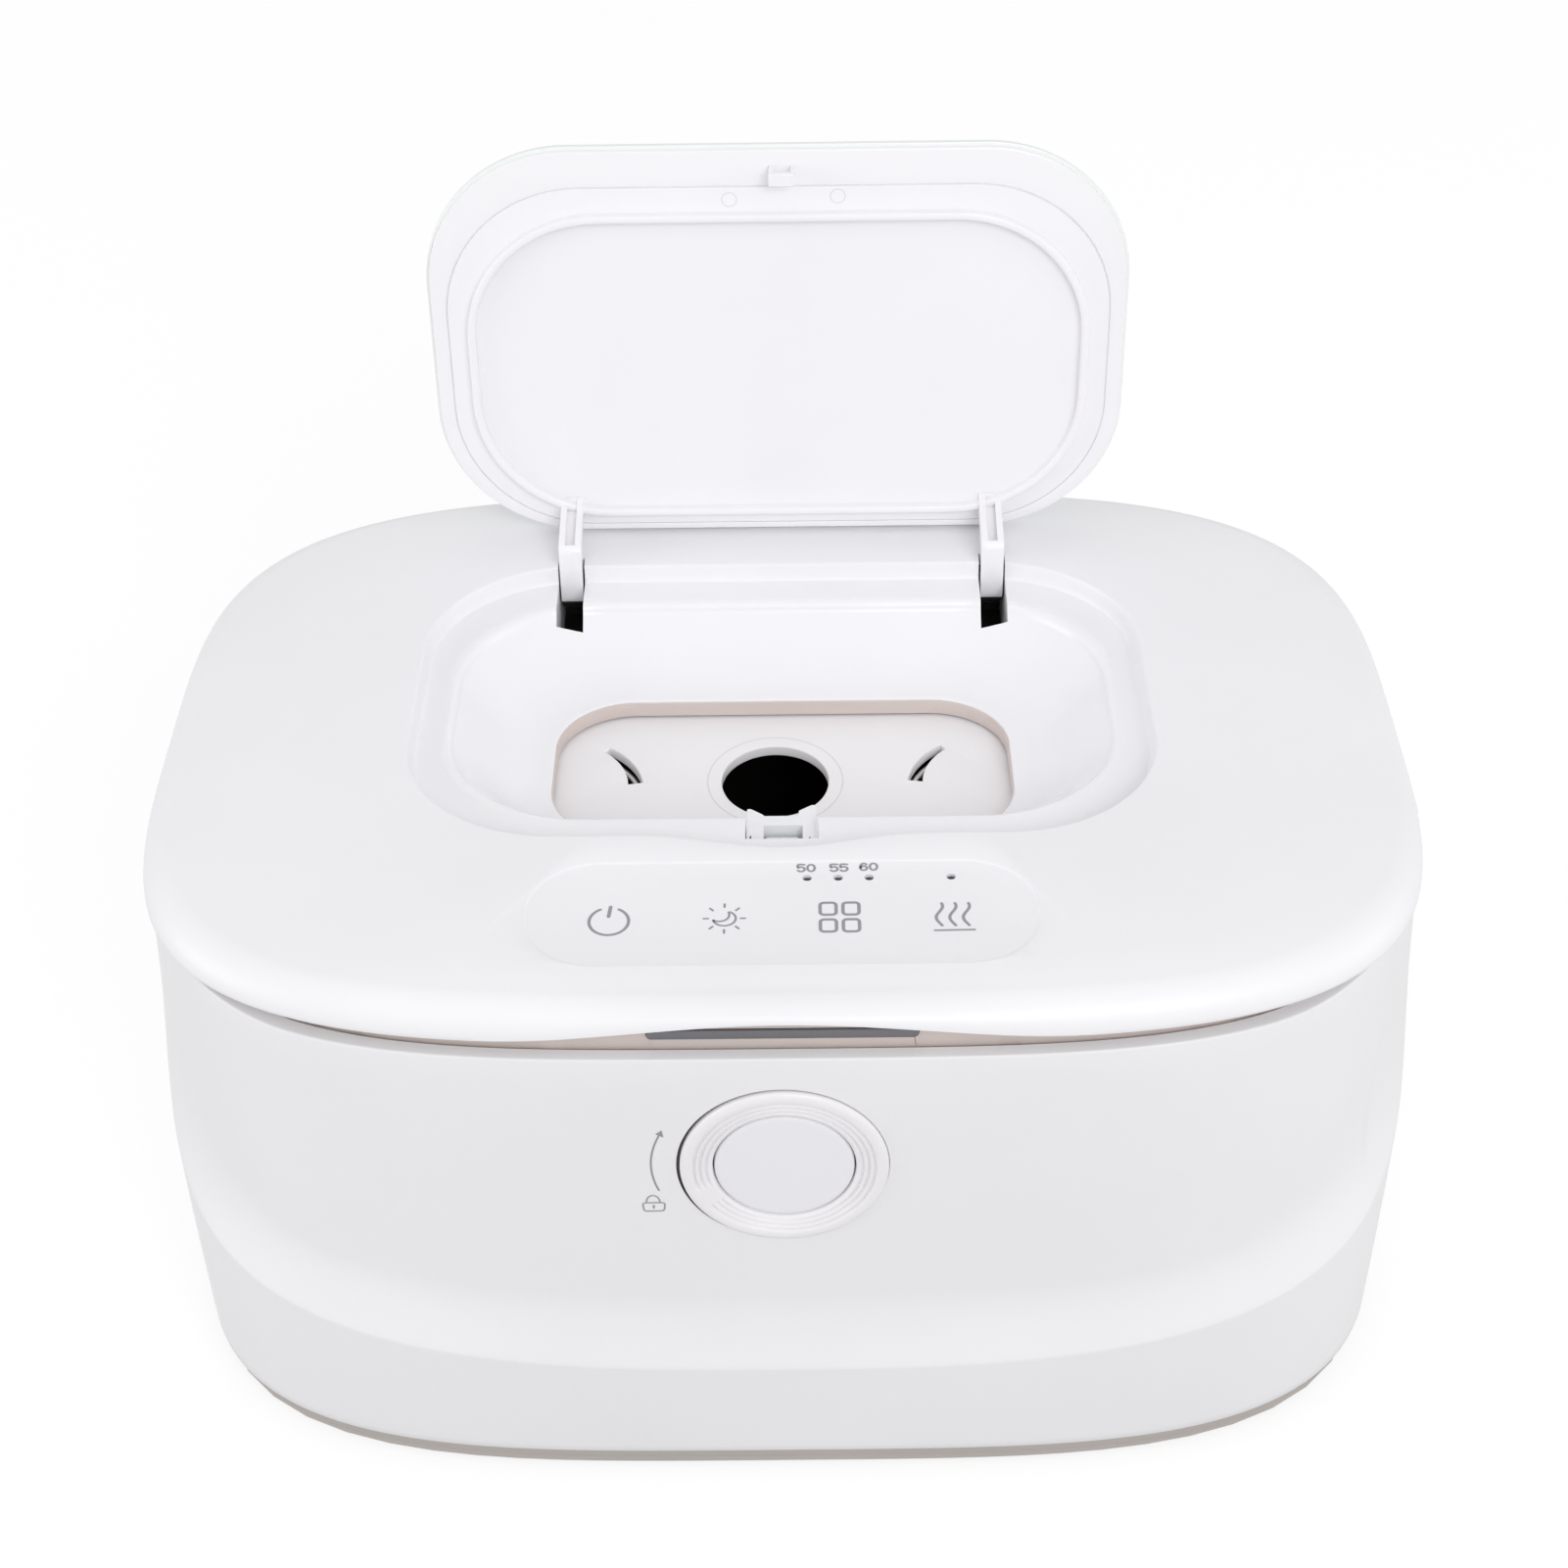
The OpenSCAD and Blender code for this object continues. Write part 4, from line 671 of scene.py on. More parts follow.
# Top cover. First its front edge with the wave, over the rounded rim and across the flat top
phi = even(288)
rows = [cover_row(phi, i, z, s) for i, z, s in (
    (2.0, COVER_Z + 0.25, 1), (1.0, COVER_Z, 1), (0.45, COVER_Z + 0.08, 1), (0.12, COVER_Z + 0.3, 1),
    (0.0, COVER_Z + 0.6, 0.95))]
for k in range(0, 91, 6):
    a = math.radians(k)
    share = float(np.interp(k, (0, 22, 45, 68, 90), (0.9, 0.6, 0.3, 0.1, 0)))
    rows.append(cover_row(phi, EDGE_R * (1 - math.cos(a)), EDGE_Z + EDGE_R * math.sin(a), share))
for i, dz in ((EDGE_R + 1.5, -0.32), (EDGE_R + 4, -0.125), (EDGE_R + 6.5, -0.03), (EDGE_R + 9, 0)):
    rows.append(cover_row(phi, i, TOP_Z + dz, 0))
# The seat's wall, as (distance outside the seat, height, share of the finger notch)
w, d, r, yc = SEAT
for o, z, b in ((0.9, 119, 1), (0.55, 118.97, 1), (0.25, 118.85, 1), (0.05, 118.6, 1), (-0.12, 118.2, 1),
                (-0.3, 117.2, 1), (-0.55, 116.1, 1), (-0.75, 115.6, 1), (-1.15, 115.3, 0.96),
                (-1.8, 115.2, 0.9)):
    rows.append(bumped(rrect(phi, w + 2 * o, d + 1.1 * o, r + o, yc, z), BUMP * b))
# The bowl, as (width, depth, corner radius, middle in Y, height)
bowl = [(132.6, 76.2, 29.5, 8.6, 115.17), (130.2, 74, 28.2, 8.6, 115.1), (128.2, 72.4, 27.5, 8.6, 114.9),
        (127, 71.4, 27, 8.6, 114.3), (126, 70.6, 27, 8.6, 113.3), (122.4, 68, 26.6, 8.3, 111.7),
        (118, 64.8, 25.6, 7.9, 109.6), (112.6, 61.8, 24, 7, 107.2), (107.2, 59.2, 22.4, 6, 105.3),
        (102, 56, 20.6, 5.2, 104.1), (97.4, 52.4, 19, 4.9, 103.4), (93, 48.2, 17, 4.9, 103.08),
        (91, 46.2, 16, 4.9, 103.0)]
rows += [rrect(phi, *k) for k in curve_through(bowl, (0, 0.34, 0.67))]
# The opening's edge and the underside back to the rim
rows += [rrect(phi, *k) for k in (
    (90.2, 45.4, 15.7, 4.9, 102.9), (89.8, 45, 15.5, 4.9, 102.7), (89.8, 45, 15.5, 4.9, 102.5),
    (94.8, 50, 18, 4.9, 102.5), (95, 50.2, 18.1, 4.9, 101.6), (105.8, 60, 22.5, 4.9, 101.8),
    (124, 70.4, 27, 8, 107.6), (131, 75.4, 28, 8.6, 112.7))]
rows += [bumped(rrect(phi, w + 4.2, d + 4.2, r + 2, yc, 113), BUMP),
         bumped(rrect(phi, w + 5, d + 5, r + 2, yc, UNDER_Z), BUMP)]
rows += [cover_row(phi, EDGE_R + 1.6, UNDER_Z, 0), cover_row(phi, 2.6, EDGE_Z + 1.6, 0.6)]
cover = skin("cover", rows)
# Cutters: the sunk control panel with its sloped edge, lamp holes, latch slot and arm pockets
tools = []
slope = []
for shrink, z in ((0.5, TOP_Z - PANEL_SINK), (0.3, TOP_Z - PANEL_SINK + 0.06), (0.08, TOP_Z - 0.08),
                  (-0.1, TOP_Z + 0.02), (-0.1, TOP_Z + 2)):
    plan = rrect_poly(PANEL_W - 2 * shrink, PANEL_LEN - 2 * shrink, PANEL_R - shrink, 16, 0, PANEL_Y)
    slope.append(np.column_stack([plan, np.full(len(plan), z)]))
tools.append(skin("tool", slope, loop=False))
for x in LEDS:
    tools.append(extrude("tool", disc_poly(LED_R, 32, x, LED_Y), UNDER_Z - 1, TOP_Z + 1))
tools.append(block_tool(*LATCH_SLOT, WEB_TOP, TOP_Z + 1))
for x in (-ARM_X, ARM_X):
    tools.append(block_tool(x - POCKET_HALF, x + POCKET_HALF, *POCKET_Y, WEB_TOP, TOP_Z + 1))
cut(cover, tools, 30)
dress(cover, SATIN, "cover", ["top_cover"])


def in_bowl(c, n):
    inside = abs(c[0]) < 64.8 and -28.5 < c[1] < 46.5 and 101 < c[2] < 115.15
    return inside and (c[2] > 107.5 or n.z > 0.2)


second_material(cover, GLOSS, in_bowl)

# Cups in which the lid's arms swing: pale side plates, and a floor and back in dark painted shade
cup_back = CUP_Y[1] + 0.5
cup_side = [(CUP_Y[0], CUP_Z[0]), (cup_back, CUP_Z[0]), (cup_back, CUP_Z[1]), (52.6, CUP_Z[1]),
            (52.6, 114.4), (45, 114.4), (CUP_Y[0], 109.4)]
cup_floor = [(CUP_Y[0], CUP_Z[0]), (cup_back, CUP_Z[0]), (cup_back, CUP_Z[1]), (CUP_Y[1], CUP_Z[1]),
             (CUP_Y[1], CUP_Z[0] + 0.4), (CUP_Y[0], CUP_Z[0] + 0.4)]
for s in (-1, 1):
    for e in (-1, 1):
        side_plate = extrude("cup_side", cup_side, -0.3, 0.3, along_x(s * ARM_X + e * (POCKET_HALF + 0.35)))
        dress(side_plate, SATIN, "cover")
    shade_strip = extrude("cup_floor", cup_floor, -POCKET_HALF - 0.04, POCKET_HALF + 0.04, along_x(s * ARM_X))
    dress(shade_strip, SHADE, "cover")

# Knuckles of the cover hinge
knuckle_side = [(COVER_D / 2 - 2.2, COVER_Z + 1.2), *knuckle_arc(-160, 62, 24),
                (hinge_y - 1.0, COVER_Z + 4.4), (COVER_D / 2 - 2.2, COVER_Z + 5.2)]
for x in (-HINGE_X, HINGE_X):
    knuckle = extrude("cover_knuckle", knuckle_side, -KNUCKLE_HALF, KNUCKLE_HALF, along_x(x), 0.35)
    dress(knuckle, SATIN, "cover")

# Flip lid, outer skin. Each row is (distance outside the plan, height)
phi = even(256)


def lid_row(plan, o, z):
    w, d, r, yc = plan
    return lid_open(rrect(phi, w + 2 * o, d + 2 * o, r + o, yc, z))


LID_PLAN = (LID_W, LID_D, LID_R, LID_Y)
rows = [lid_row(LID_PLAN, o, z) for o, z in (
    (-5, 117.1), (-0.3, 117.1), (-0.02, 117.25), (0, 117.6), (-0.02, 118.1), (-0.12, 118.45),
    (-0.35, 118.75), (-0.75, 118.93), (-1.3, 119.0), (-4, 119.0))]
shell = skin("lid_outer", rows, loop=False)
dress(shell, LID_EDGE, "lid", ["lid_shell"])

# Its inner face: the edge, a fine groove round the raised step, then the narrow rib
rows = [lid_row(LID_PLAN, o, z) for o, z in (
    (-3, 117.1), (-0.6, 117.1), (-0.6, 116.3), (-0.68, 116.05), (-0.95, LINER_Z))]
rows += [lid_row(STEP, o, z) for o, z in (
    (0.3, LINER_Z), (0.26, 116.15), (0.04, 116.15), (0, 115.78), (-0.06, 115.66), (-0.3, LID_FACE))]
rows += [lid_row(RIB, o, z) for o, z in (
    (0.3, LID_FACE), (0.08, 115.52), (0, 115.3), (0, 114.0), (-0.08, 113.75), (-0.3, 113.6), (-1.3, 113.6),
    (-1.52, 113.75), (-1.6, 114.0), (-1.6, 115.3), (-1.68, 115.52), (-1.9, LID_FACE), (-6, LID_FACE))]
liner = skin("lid_inner", rows, loop=False)
dress(liner, LID_WHITE, "lid", ["lid_liner"])

# Marks of the ejector pins beside the hook, drawn as thin rings of painted shade
for x, y in ((-9.2, -26.5), (11.9, -27.0)):
    pin_mark = marks("ejector_mark", [ribbon(arc(x, y, 1.45, 0, 345, 24), 0.14, closed=True)],
                     lambda p: lid_open(p + (0, 0, LID_FACE - PRINT_LIFT)))
    dress(pin_mark, FAINT_SHADE, "lid")

# Hook: a head on two legs
for x0, x1, y1, z0, z1 in ((-2.5, 2.5, -30.9, HOOK_LOW, HOOK_LOW + 1.3),
                           (-2.5, -1.7, -32.5, HOOK_LOW + 1, 116), (1.7, 2.5, -32.5, HOOK_LOW + 1, 116)):
    corners = [(HOOK_X + x0, HOOK_FRONT), (HOOK_X + x1, HOOK_FRONT), (HOOK_X + x1, y1), (HOOK_X + x0, y1)]
    hook = extrude("hook_face", corners, z0, z1, lid_open, 0.25)
    dress(hook, LID_WHITE, "lid", ["lid_hook"])

# Goose-neck arms: a bent side outline as (Y, Z) about the lid's axis, and an eye round the pin
arm_top = LID_FACE - LID_PIVOT[1] + 0.2
neck = [(-19.6, arm_top), (-18.2, 5.2), (-17.2, 2.0), (-15.1, -7.4), (-2, -7.4), (1.2, -2.9), (0, 0),
        (-3.1, 0.5), (-3.6, -3.6), (-11.5, -3.6), (-15.4, arm_top)]
neck_groove = [(-21.5, 6.0), (-17.2, 6.0), (-13.5, -6.2), (-21.5, -6.2)]


def arm_place(x):
    """Puts a side outline across the part at x, and turns it open with the lid."""
    return lambda p: lid_open(along_x(x)(p))


for s in (-1, 1):
    arm = extrude("lid_arm", round_corners(neck, 1.6) + LID_PIVOT, -ARM_W / 2, ARM_W / 2,
                  arm_place(s * ARM_X), ARM_BEVEL)
    settle(arm)
    cut(arm, [extrude("tool", round_corners(neck_groove, 1.2) + LID_PIVOT, -1, 1, arm_place(s * ARM_X))])
    eye = extrude("lid_arm", disc_poly(EYE_R, 40) + LID_PIVOT, -ARM_W / 2, ARM_W / 2,
                  arm_place(s * ARM_X), ARM_BEVEL)
    settle(eye)
    # Below SHADE_BELOW the arm and its eye get painted shade, for the dark deep in the pocket
    for piece in (arm, eye):
        dress(piece, LID_WHITE, "lid")
        second_material(piece, SHADE, lambda c, n: c[2] < SHADE_BELOW)

# Lock ring and release button
inner = BUTTON_R + 0.4
crest = RING_R - 1.6


def ring_face(r):
    """The ring's front falls a little from its crest towards the button."""
    return RING_H - 0.5 * (crest - r) / (crest - inner)


# The profile as (radius, height, depth lost to a groove), from the back over the crest to the inside
profile = [(inner, -3.6, 0), (COLLAR_R, -3.6, 0), (COLLAR_R, -RING_SINK, 0), (RING_R - 0.1, -RING_SINK, 0),
           (RING_R, -RING_SINK + 0.1, 0), (RING_R, RING_H - 0.75, 0), (RING_R - 0.08, RING_H - 0.5, 0),
           (RING_R - 0.3, RING_H - 0.26, 0), (RING_R - 0.7, RING_H - 0.1, 0),
           (RING_R - 1.1, RING_H - 0.03, 0), (crest, RING_H, 0), (crest - 0.3, RING_H - 0.04, 0)]
groove = ((0.46, 0.0), (0.3, 0.08), (0.14, 0.36), (0.0, 0.45), (-0.14, 0.36), (-0.3, 0.08), (-0.46, 0.0))
for k in (3, 2, 1):
    r = inner + 0.1 + k * GROOVE_STEP
    profile += [(r + o, ring_face(r + o), g) for o, g in groove]
profile += [(inner + 0.4, ring_face(inner), 0.1), (inner + 0.12, ring_face(inner) - 0.14, 0.1),
            (inner, ring_face(inner) - 0.4, 0.1)]
angles = np.unique(np.concatenate([np.arange(0, 360, 2.0), np.arange(PATCH_FROM - 1, PATCH_TO + 2, 0.5)]))
turn = np.radians(angles)
# A smooth patch for the thumb: the grooves fade out into it and start again at a step
patch = smooth((angles - PATCH_FROM) / 6) * (angles < PATCH_TO)
rows = []
for r, h, g in profile:
    rows.append(on_panel(np.column_stack([r * np.cos(turn), r * np.sin(turn), h - g * (1 - patch)])))
ring = skin("lock_ring_face", rows, sharp=30)
dress(ring, RING, "ring", ["lock_ring"])

face, rim_r = RING_H - 0.7, BUTTON_R + 0.15
profile = [(0, -3.9), (rim_r - 0.2, -3.9), (rim_r, -3.7), (rim_r, face - 0.9),
           (rim_r - 0.04, face - 0.4), (rim_r - 0.18, face - 0.15), (rim_r - 0.45, face - 0.03),
           (rim_r - 1, face), (rim_r - 4, face + 0.1), (rim_r - 8, face + 0.17),
           (0, face + 0.2)]
button = lathe("button_face", profile, 160, on_panel)
dress(button, BUTTON, "button", ["release_button"])

# Lift plate: a flat curve with its holes, drawn up and rounded at every edge
flat = bpy.data.curves.new("lift_plate_face", "CURVE")
flat.dimensions = "2D"
flat.fill_mode = "BOTH"


def spline(points):
    s = flat.splines.new("POLY")
    s.points.add(len(points) - 1)
    s.points.foreach_set("co", np.column_stack([np.asarray(points) * 0.001, np.zeros(len(points)),
                                                np.ones(len(points))]).ravel())
    s.use_cyclic_u = True


edge = PLATE_EDGE
spline(rrect_poly(PLATE_W - 2 * edge, PLATE_D - 2 * edge, PLATE_R - edge, 14, 0, PLATE_Y))
spline(arc(0, HOLE_Y, HOLE_A + edge, 0, 356.25, 96, HOLE_B + edge))
# A sickle-shaped slot over each spring, which narrows towards its far end
turn = np.radians(np.linspace(SICKLE_FROM, SICKLE_TO, 30))
outside = np.linspace(*SICKLE_OUT, 30) + edge
inside = np.linspace(*SICKLE_IN, 30) - edge
for s in (-1, 1):
    sickle = [np.column_stack([s * (SPRING_X - r * np.cos(turn)), SPRING_Y + r * np.sin(turn)])
              for r in (outside, inside)]
    spline(np.concatenate([sickle[0], sickle[1][::-1]]))
flat.extrude = (PLATE_TOP - PLATE_Z) / 2 * 0.001 - edge * 0.001
flat.bevel_depth = edge * 0.001
flat.bevel_resolution = 3
holder = bpy.data.objects.new("holder", flat)
scene.collection.objects.link(holder)
bpy.context.view_layer.update()
mesh = bpy.data.meshes.new_from_object(holder.evaluated_get(bpy.context.evaluated_depsgraph_get()))
mesh.transform(Matrix.Translation((PLATE_X * 0.001, FRAME_Y * 0.001, (PLATE_Z + PLATE_TOP) / 2 * 0.001)))
bpy.data.objects.remove(holder)
plate = bpy.data.objects.new("lift_plate_face", mesh)
scene.collection.objects.link(plate)
w = plate.modifiers.new("weld", "WELD")
w.merge_threshold = 1e-6
shade(plate, 40)
dress(plate, PLATE, "plate", ["lift_plate"])
# A faint ring of painted shade round the plate's hole, for the shading of a slight raised ring
plate_ring_shade = marks("hole_ring_shade", [ribbon(arc(PLATE_X, HOLE_Y, HALO_A, 0, 356.25, 96, HALO_B), 0.22, closed=True)],
             lambda p: p + (0, 0, PLATE_TOP + PRINT_LIFT))
dress(plate_ring_shade, FAINT_SHADE, "plate")

# Lift springs: the height of their first and last turn, and the rise for each turn
low, high = SPRING_FOOT + WIRE / 2, PLATE_Z - WIRE / 2 - 0.05
pitch_end = WIRE + 0.55
pitch = (high - low - 2 * pitch_end) / (TURNS - 2)


def coil_z(t):
    """Height of the wire's middle: close turns at both ends, the topmost one flat under the plate."""
    z = np.where(t < 1, low + pitch_end * t, low + pitch_end + pitch * (t - 1))
    return z + (high - z) * smooth((t - (TURNS - 1.2)) / 0.23)


for side, node in ((-1, "lift_spring_left"), (1, "lift_spring_right")):
    t = np.linspace(0, TURNS - 0.12, TURNS * 48 + 1)
    turn = 2 * math.pi * t
    path = np.column_stack([SPRING_R * np.cos(turn), SPRING_R * np.sin(turn), coil_z(t)])
    along = np.gradient(path, axis=0)
    along /= np.linalg.norm(along, axis=1)[:, None]
    outward = path * (1, 1, 0)
    outward /= np.linalg.norm(outward, axis=1)[:, None]
    over = np.cross(along, outward)
    a = np.linspace(0, 2 * math.pi, 12, endpoint=False)[:, None]
    middle = (PLATE_X + side * SPRING_X, SPRING_Y, 0)
    rows = [path[k] + WIRE / 2 * (outward[k] * np.cos(a) + over[k] * np.sin(a)) + middle
            for k in range(len(path))]
    spring = skin("spring_wire", rows, loop=False, sharp=60)
    dress(spring, STEEL, "base", [node])
    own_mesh(spring)

# Printed marks of the four keys
def flat_on_panel(p):
    """Lays points just over the floor of the control panel."""
    return p + (0, 0, TOP_Z - PANEL_SINK + PRINT_LIFT)


# Where the marks lie, as (X, Y): each at its middle, the heat key at its line
POWER_KEY, NIGHT_KEY = (-30.1, -61.9), (-10.0, -61.4)
LEVEL_KEY, HEAT_KEY = (10.1, -61.3), (29.85, -65.2)
ink = 0.56
strokes = []
# Power key: an open ring with a bar
cx, cy = POWER_KEY
strokes.append(ribbon(arc(cx, cy, 3.45, 118, 422, 48, 3.7), ink))
strokes.append(ribbon(line(cx - 0.1, cy + 1.3, cx + 0.15, cy + 4.0), ink + 0.1))
# Night light key: a crescent with eight rays
cx, cy = NIGHT_KEY
horns = arc(cx - 0.9, cy + 0.95, 1.75, 34, -138, 20)[1:-1]
strokes.append(ribbon(np.concatenate([arc(cx, cy, 2.0, -170, 62, 26), horns]), ink * 0.75, closed=True))
for k in range(8):
    a = math.radians(45 * k)
    strokes.append(ribbon(line(cx + 2.85 * math.cos(a), cy + 3.1 * math.sin(a),
                               cx + 3.6 * math.cos(a), cy + 3.95 * math.sin(a)), ink * 0.75))
# Temperature key: four rounded squares
cx, cy = LEVEL_KEY
for sx in (-1, 1):
    for sy in (-1, 1):
        square = rrect_poly(2.8, 3.3, 0.7, 5, cx + sx * 2.0, cy + sy * 2.3)
        strokes.append(ribbon(square, ink * 1.1, closed=True))
# Heat key: three waves over a line
cx, cy = HEAT_KEY
t = np.linspace(0, 1, 22)
for k in (-1, 0, 1):
    wave = cx + k * 2.35 + 0.62 * np.sin(2 * math.pi * t * 0.95 + 2.6)
    strokes.append(ribbon(np.column_stack([wave, cy + 1.3 + 6.1 * t]), ink))
strokes.append(ribbon(line(cx - 3.35, cy, cx + 3.55, cy + 0.1), ink * 0.8))
keys_print = marks("key_marks", strokes, flat_on_panel)
dress(keys_print, MARK, "cover")

# Figures over the lamps, drawn as plain strokes in a unit square. The nought is an oval
DIGITS = {
    "5": [(0.95, 1), (0.1, 1), (0.06, 0.56), (0.35, 0.64), (0.72, 0.6), (0.95, 0.42), (0.92, 0.18),
          (0.66, 0.01), (0.3, 0.0), (0.04, 0.14)],
    "6": [(0.88, 0.86), (0.62, 1.0), (0.3, 0.94), (0.08, 0.66), (0.05, 0.3), (0.26, 0.03), (0.62, 0.0),
          (0.92, 0.17), (0.92, 0.44), (0.66, 0.6), (0.32, 0.57), (0.1, 0.38)],
}
DIGIT_W, DIGIT_H, DIGIT_STEP, DIGIT_INK = 1.3, 1.9, 1.75, 0.46

strokes = []
for text, x, y in (("50", 4.45, -47.5), ("55", 10.3, -47.5), ("60", 15.55, -47.3)):
    for k, digit in enumerate(text):
        x0, y0 = x - 1.62 + k * DIGIT_STEP, y - 0.95
        if digit == "0":
            oval = arc(x0 + DIGIT_W / 2, y0 + DIGIT_H / 2, DIGIT_W / 2, 0, 345, 24, DIGIT_H / 2)
            strokes.append(ribbon(oval, DIGIT_INK, closed=True))
        else:
            corners = [(x0 + DIGIT_W * a, y0 + DIGIT_H * b) for a, b in DIGITS[digit]]
            curve = curve_through(corners, np.arange(6) / 6) + [np.array(corners[-1])]
            strokes.append(ribbon(curve, DIGIT_INK))
figures = marks("figure_marks", strokes, flat_on_panel)
dress(figures, MARK, "cover")


# Arrow and padlock beside the ring, on the tub's panel, as (X, height)
def on_tub(p, rise=0.03):
    """Lays (x, height) points on the front panel: a first guess of the angle, then a few steps closer."""
    x, z = p[:, 0], p[:, 1]
    ang = np.degrees(np.arctan2(x, -PANEL_SURFACE))
    for _ in range(8):
        q = body_row(ang, z, -rise)
        ang += np.degrees((x - q[:, 0]) / np.hypot(q[:, 0], q[:, 1]))
    return body_row(ang, z, -rise)


ARROW_X, ARROW_LEAN, ARROW_BOW = -22.26, 0.91, 1.575
ARROW_LOW, ARROW_HIGH = 75.54, 90.23
z = np.linspace(ARROW_LOW, ARROW_HIGH, 16)
swell = (z - ARROW_LOW) * (ARROW_HIGH - z)
bow = ARROW_X + ARROW_LEAN * (z - ARROW_LOW) / (ARROW_HIGH - ARROW_LOW) - ARROW_BOW * swell / swell.max()
strokes = [ribbon(np.column_stack([bow, z]), 0.35),
           filled([(-21.2, 90.75), (-22.35, 89.75), (-20.95, 88.95)])]
lock_body = round_corners([(-25.3, 72.3), (-21.3, 72.35), (-21.5, 70.2), (-25.1, 70.1)], 0.6)
apart = np.linalg.norm(lock_body - np.roll(lock_body, 1, 0), axis=1) > 1e-6
strokes.append(ribbon(lock_body[apart], 0.3, closed=True))
strokes.append(ribbon(arc(-23.4, 72.45, 1.2, 4, 176, 20, 1.75), 0.3))
strokes.append(ribbon(line(-23.35, 70.95, -23.35, 71.6), 0.36))
lock_marks = marks("lock_marks", strokes, on_tub)
dress(lock_marks, MARK, "base")

# Latch of the flip lid: a block with two wings, a well for the hook, and small gaps drawn in painted shade
latch_plan = [(-6.5, -34.1), (6.3, -34.1), (6.3, -21.8), (5.6, -21.7), (3.1, -23.5), (3.1, -25),
              (-3.4, -25), (-3.4, -24.7), (-5.8, -22.8), (-6.5, -22.8)]
latch = extrude("latch_face", round_corners(latch_plan, 0.3, 3), WEB_TOP, LATCH_TOP, None, 0.25)
settle(latch)
cut(latch, [block_tool(*LATCH_WELL, WEB_TOP + 1.4, TOP_Z)])
dress(latch, SATIN, "cover", ["latch_housing"])
strokes = [filled([(3.95, -33.5), (5.2, -33.5), (5.2, -31.3)]),
           filled([(-4.9, -33.4), (-4.2, -33.4), (-4.9, -32.4)]),
           ribbon(line(-5.8, -33.4, -5.8, -31.1), 0.25)]
latch_gap_shade = marks("latch_gap_shade", strokes, lambda p: p + (0, 0, LATCH_TOP + PRINT_LIFT))
dress(latch_gap_shade, SHADE, "cover")

# CAD nodes that stay, with their own materials, and soft edges on a few
CARRIED = {
    "base_pan": PAN, "rubber_feet": RUBBER, "base_screws": SCREW, "inner_tank": TANK, "heater_film": FOIL,
    "insulation_pad": FOAM, "temp_sensor": CHIP, "thermal_fuse": SEAL, "power_board": BOARD,
    "board_parts": CHIP, "dc_jack": DARK, "cover_hinge_pins": SCREW, "ring_retainer": TUB,
    "retainer_screws": SCREW, "button_catch": BUTTON, "button_spring": STEEL, "cover_frame": TAUPE,
    "frame_screws": SCREW, "cover_seal": SEAL, "light_window": SMOKED, "night_light_board": BOARD,
    "touch_board": BOARD, "touch_pads": SCREW, "led_lenses": LENS, "cover_hook": SATIN,
    "latch_plunger": CLEAR, "latch_spring": STEEL, "lid_hinge_pins": SCREW,
}
for name, mat in CARRIED.items():
    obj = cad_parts[name]
    obj.data.materials.clear()
    obj.data.materials.append(mat)
    for p in obj.data.polygons:
        p.material_index = 0
for name, width in (("dc_jack", 0.25), ("cover_frame", 0.3), ("light_window", 0.3), ("latch_plunger", 0.3),
                    ("rubber_feet", 0.5)):
    round_edges(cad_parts[name], width, 2, 40, weld=True)

# Floor, world and lamps
def show_to_rays(tree, plain, seen, kinds, share):
    """Mixes the shader seen over the plain one, by a share, for the named kinds of ray."""
    path = tree.nodes.new("ShaderNodeLightPath")
    factor = path.outputs[kinds[0]]
    for kind in kinds[1:]:
        larger = tree.nodes.new("ShaderNodeMath")
        larger.operation = "MAXIMUM"
        tree.links.new(factor, larger.inputs[0])
        tree.links.new(path.outputs[kind], larger.inputs[1])
        factor = larger.outputs[0]
    part = tree.nodes.new("ShaderNodeMath")
    part.operation = "MULTIPLY"
    part.inputs[1].default_value = share
    mix = tree.nodes.new("ShaderNodeMixShader")
    tree.links.new(factor, part.inputs[0])
    tree.links.new(part.outputs[0], mix.inputs["Fac"])
    tree.links.new(plain.outputs[0], mix.inputs[1])
    tree.links.new(seen.outputs[0], mix.inputs[2])
    return mix.outputs[0]


# The floor is a mid grey that also glows for the camera, so that it looks white and keeps a soft shadow
FLOOR_GREY, FLOOR_GLOW, FLOOR_SHARE = (0.54, 0.56), 1.3, 0.62
# The world lights the part less than it shows behind it
WORLD_LIGHT, WORLD_SEEN = 0.74, 1.0

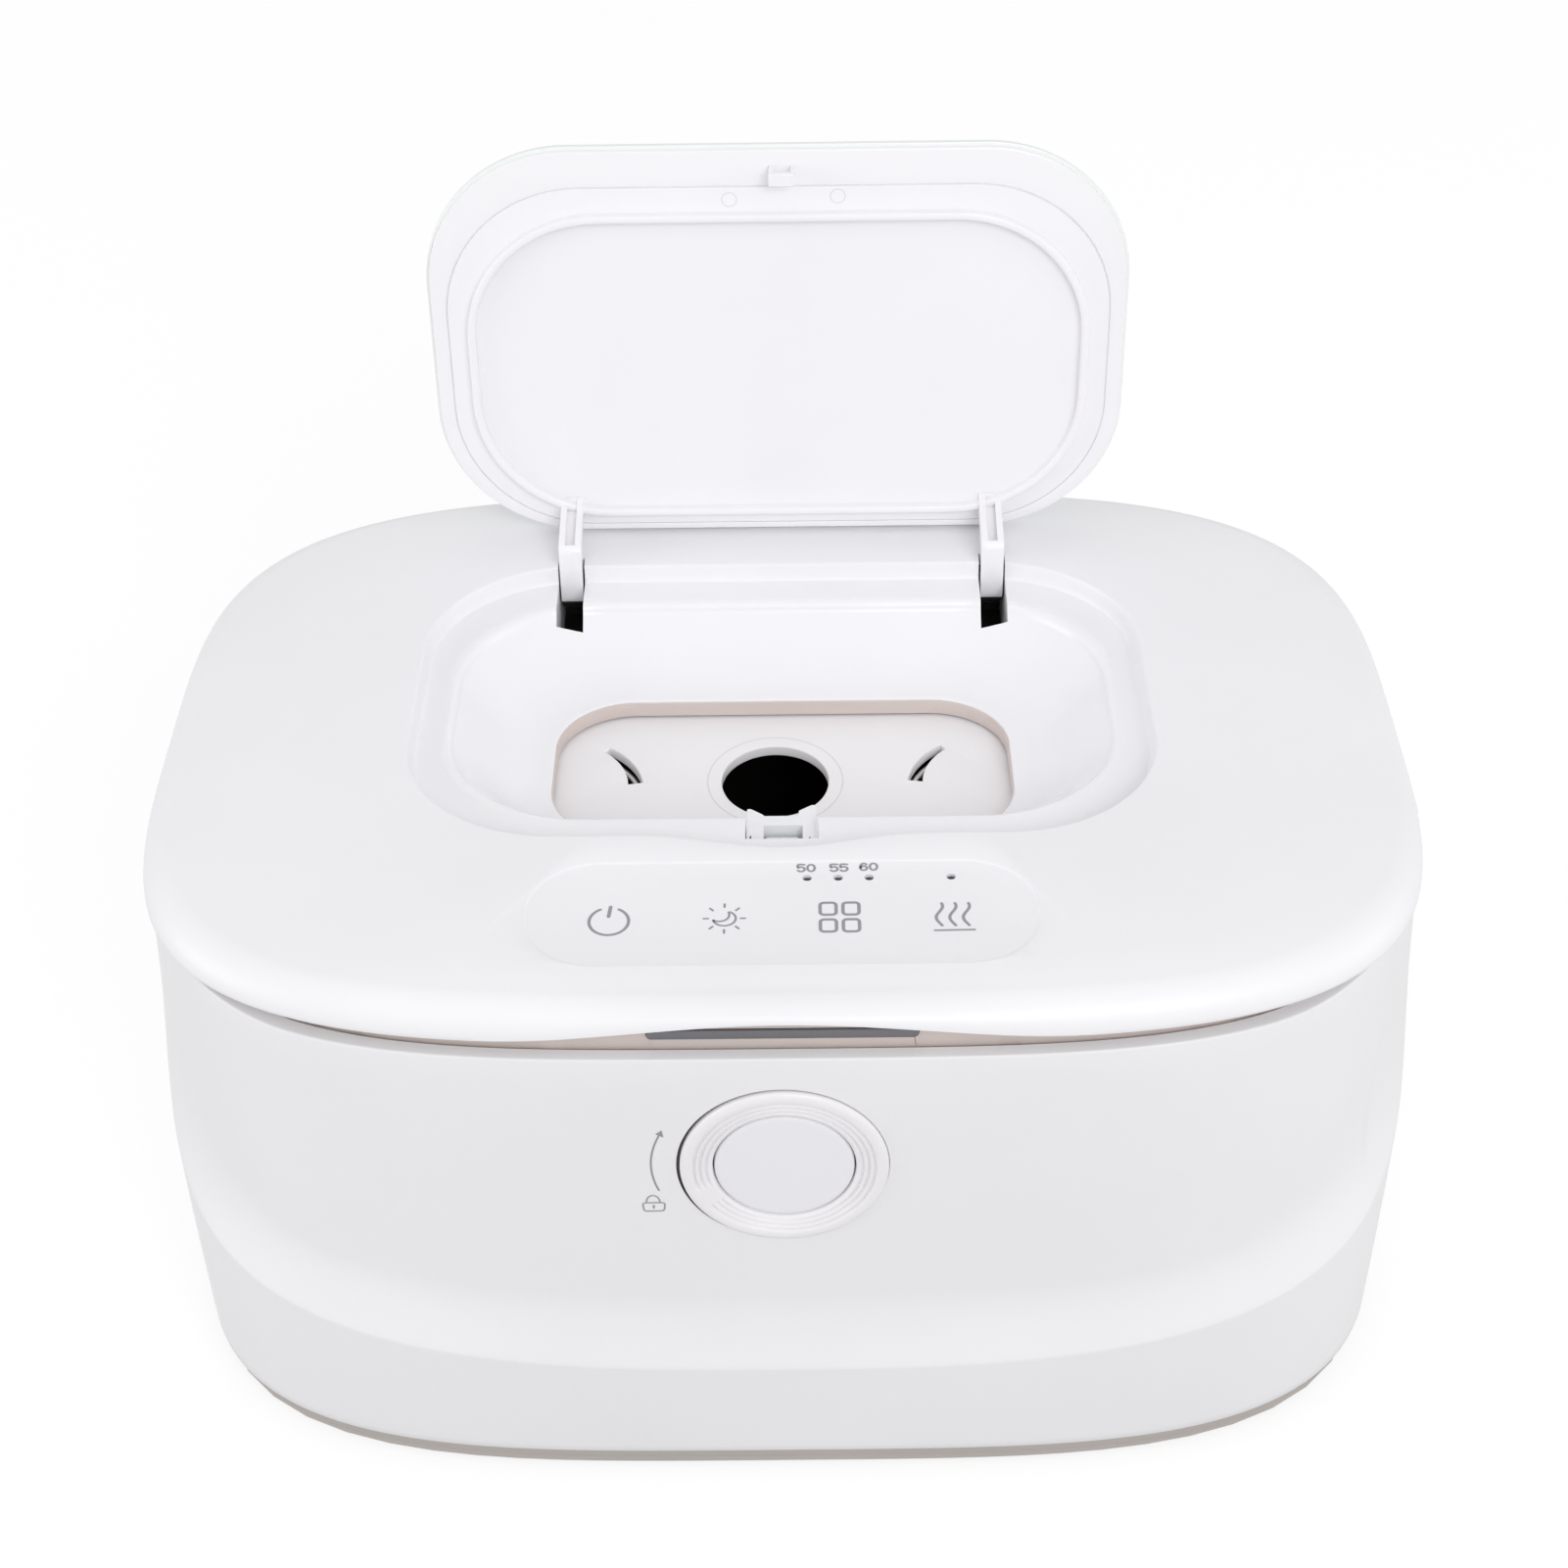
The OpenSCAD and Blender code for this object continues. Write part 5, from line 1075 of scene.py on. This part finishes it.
bpy.ops.mesh.primitive_plane_add(size=12, location=(0, 0, 0))
floor = bpy.context.object
floor.name = "floor"
floor_white = bpy.data.materials.new("floor_white")
floor_white.use_nodes = True
tree = floor_white.node_tree
tree.nodes.clear()
grain = tree.nodes.new("ShaderNodeTexNoise")
grain.inputs["Scale"].default_value = 3.0
tone = tree.nodes.new("ShaderNodeValToRGB")
for element, grey in zip(tone.color_ramp.elements, FLOOR_GREY):
    element.color = (grey, grey, grey, 1)
soft = tree.nodes.new("ShaderNodeBsdfDiffuse")
tree.links.new(grain.outputs["Fac"], tone.inputs["Fac"])
tree.links.new(tone.outputs["Color"], soft.inputs["Color"])
glow = tree.nodes.new("ShaderNodeEmission")
glow.inputs["Strength"].default_value = FLOOR_GLOW
rays = ("Is Camera Ray", "Is Glossy Ray", "Is Transmission Ray")
surface = show_to_rays(tree, soft, glow, rays, FLOOR_SHARE)
out = tree.nodes.new("ShaderNodeOutputMaterial")
tree.links.new(surface, out.inputs["Surface"])
floor.data.materials.append(floor_white)
floor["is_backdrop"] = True

world = bpy.data.worlds.new("studio")
scene.world = world
world.use_nodes = True
tree = world.node_tree
tree.nodes.clear()
skies = []
for strength in (WORLD_LIGHT, WORLD_SEEN):
    sky = tree.nodes.new("ShaderNodeBackground")
    sky.inputs["Color"].default_value = (1, 1, 1, 1)
    sky.inputs["Strength"].default_value = strength
    skies.append(sky)
surface = show_to_rays(tree, skies[0], skies[1], ("Is Camera Ray", "Is Transmission Ray"), 1)
out = tree.nodes.new("ShaderNodeOutputWorld")
tree.links.new(surface, out.inputs["Surface"])


def lamp(name, place, size, power, aim=(0, 0, 0.08)):
    data = bpy.data.lights.new(name, "AREA")
    data.shape = "RECTANGLE"
    data.size, data.size_y = size
    data.energy = power
    obj = bpy.data.objects.new(name, data)
    obj.location = place
    obj.rotation_euler = (Vector(aim) - Vector(place)).to_track_quat("-Z", "Y").to_euler()
    scene.collection.objects.link(obj)


lamp("top_box", (-0.25, 0.15, 1.35), (1.3, 1.0), 0.4)
lamp("front_box", (0.45, -1.25, 0.95), (0.8, 0.6), 8.3)
lamp("left_box", (-1.35, -0.3, 0.4), (0.9, 0.7), 4.6, (0, 0, 0.06))
lamp("right_box", (1.35, -0.15, 0.4), (0.9, 0.7), 2.2, (0, 0, 0.06))

scene.view_settings.view_transform = "Standard"

# Size: the bounds of the shown pieces
low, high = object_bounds()
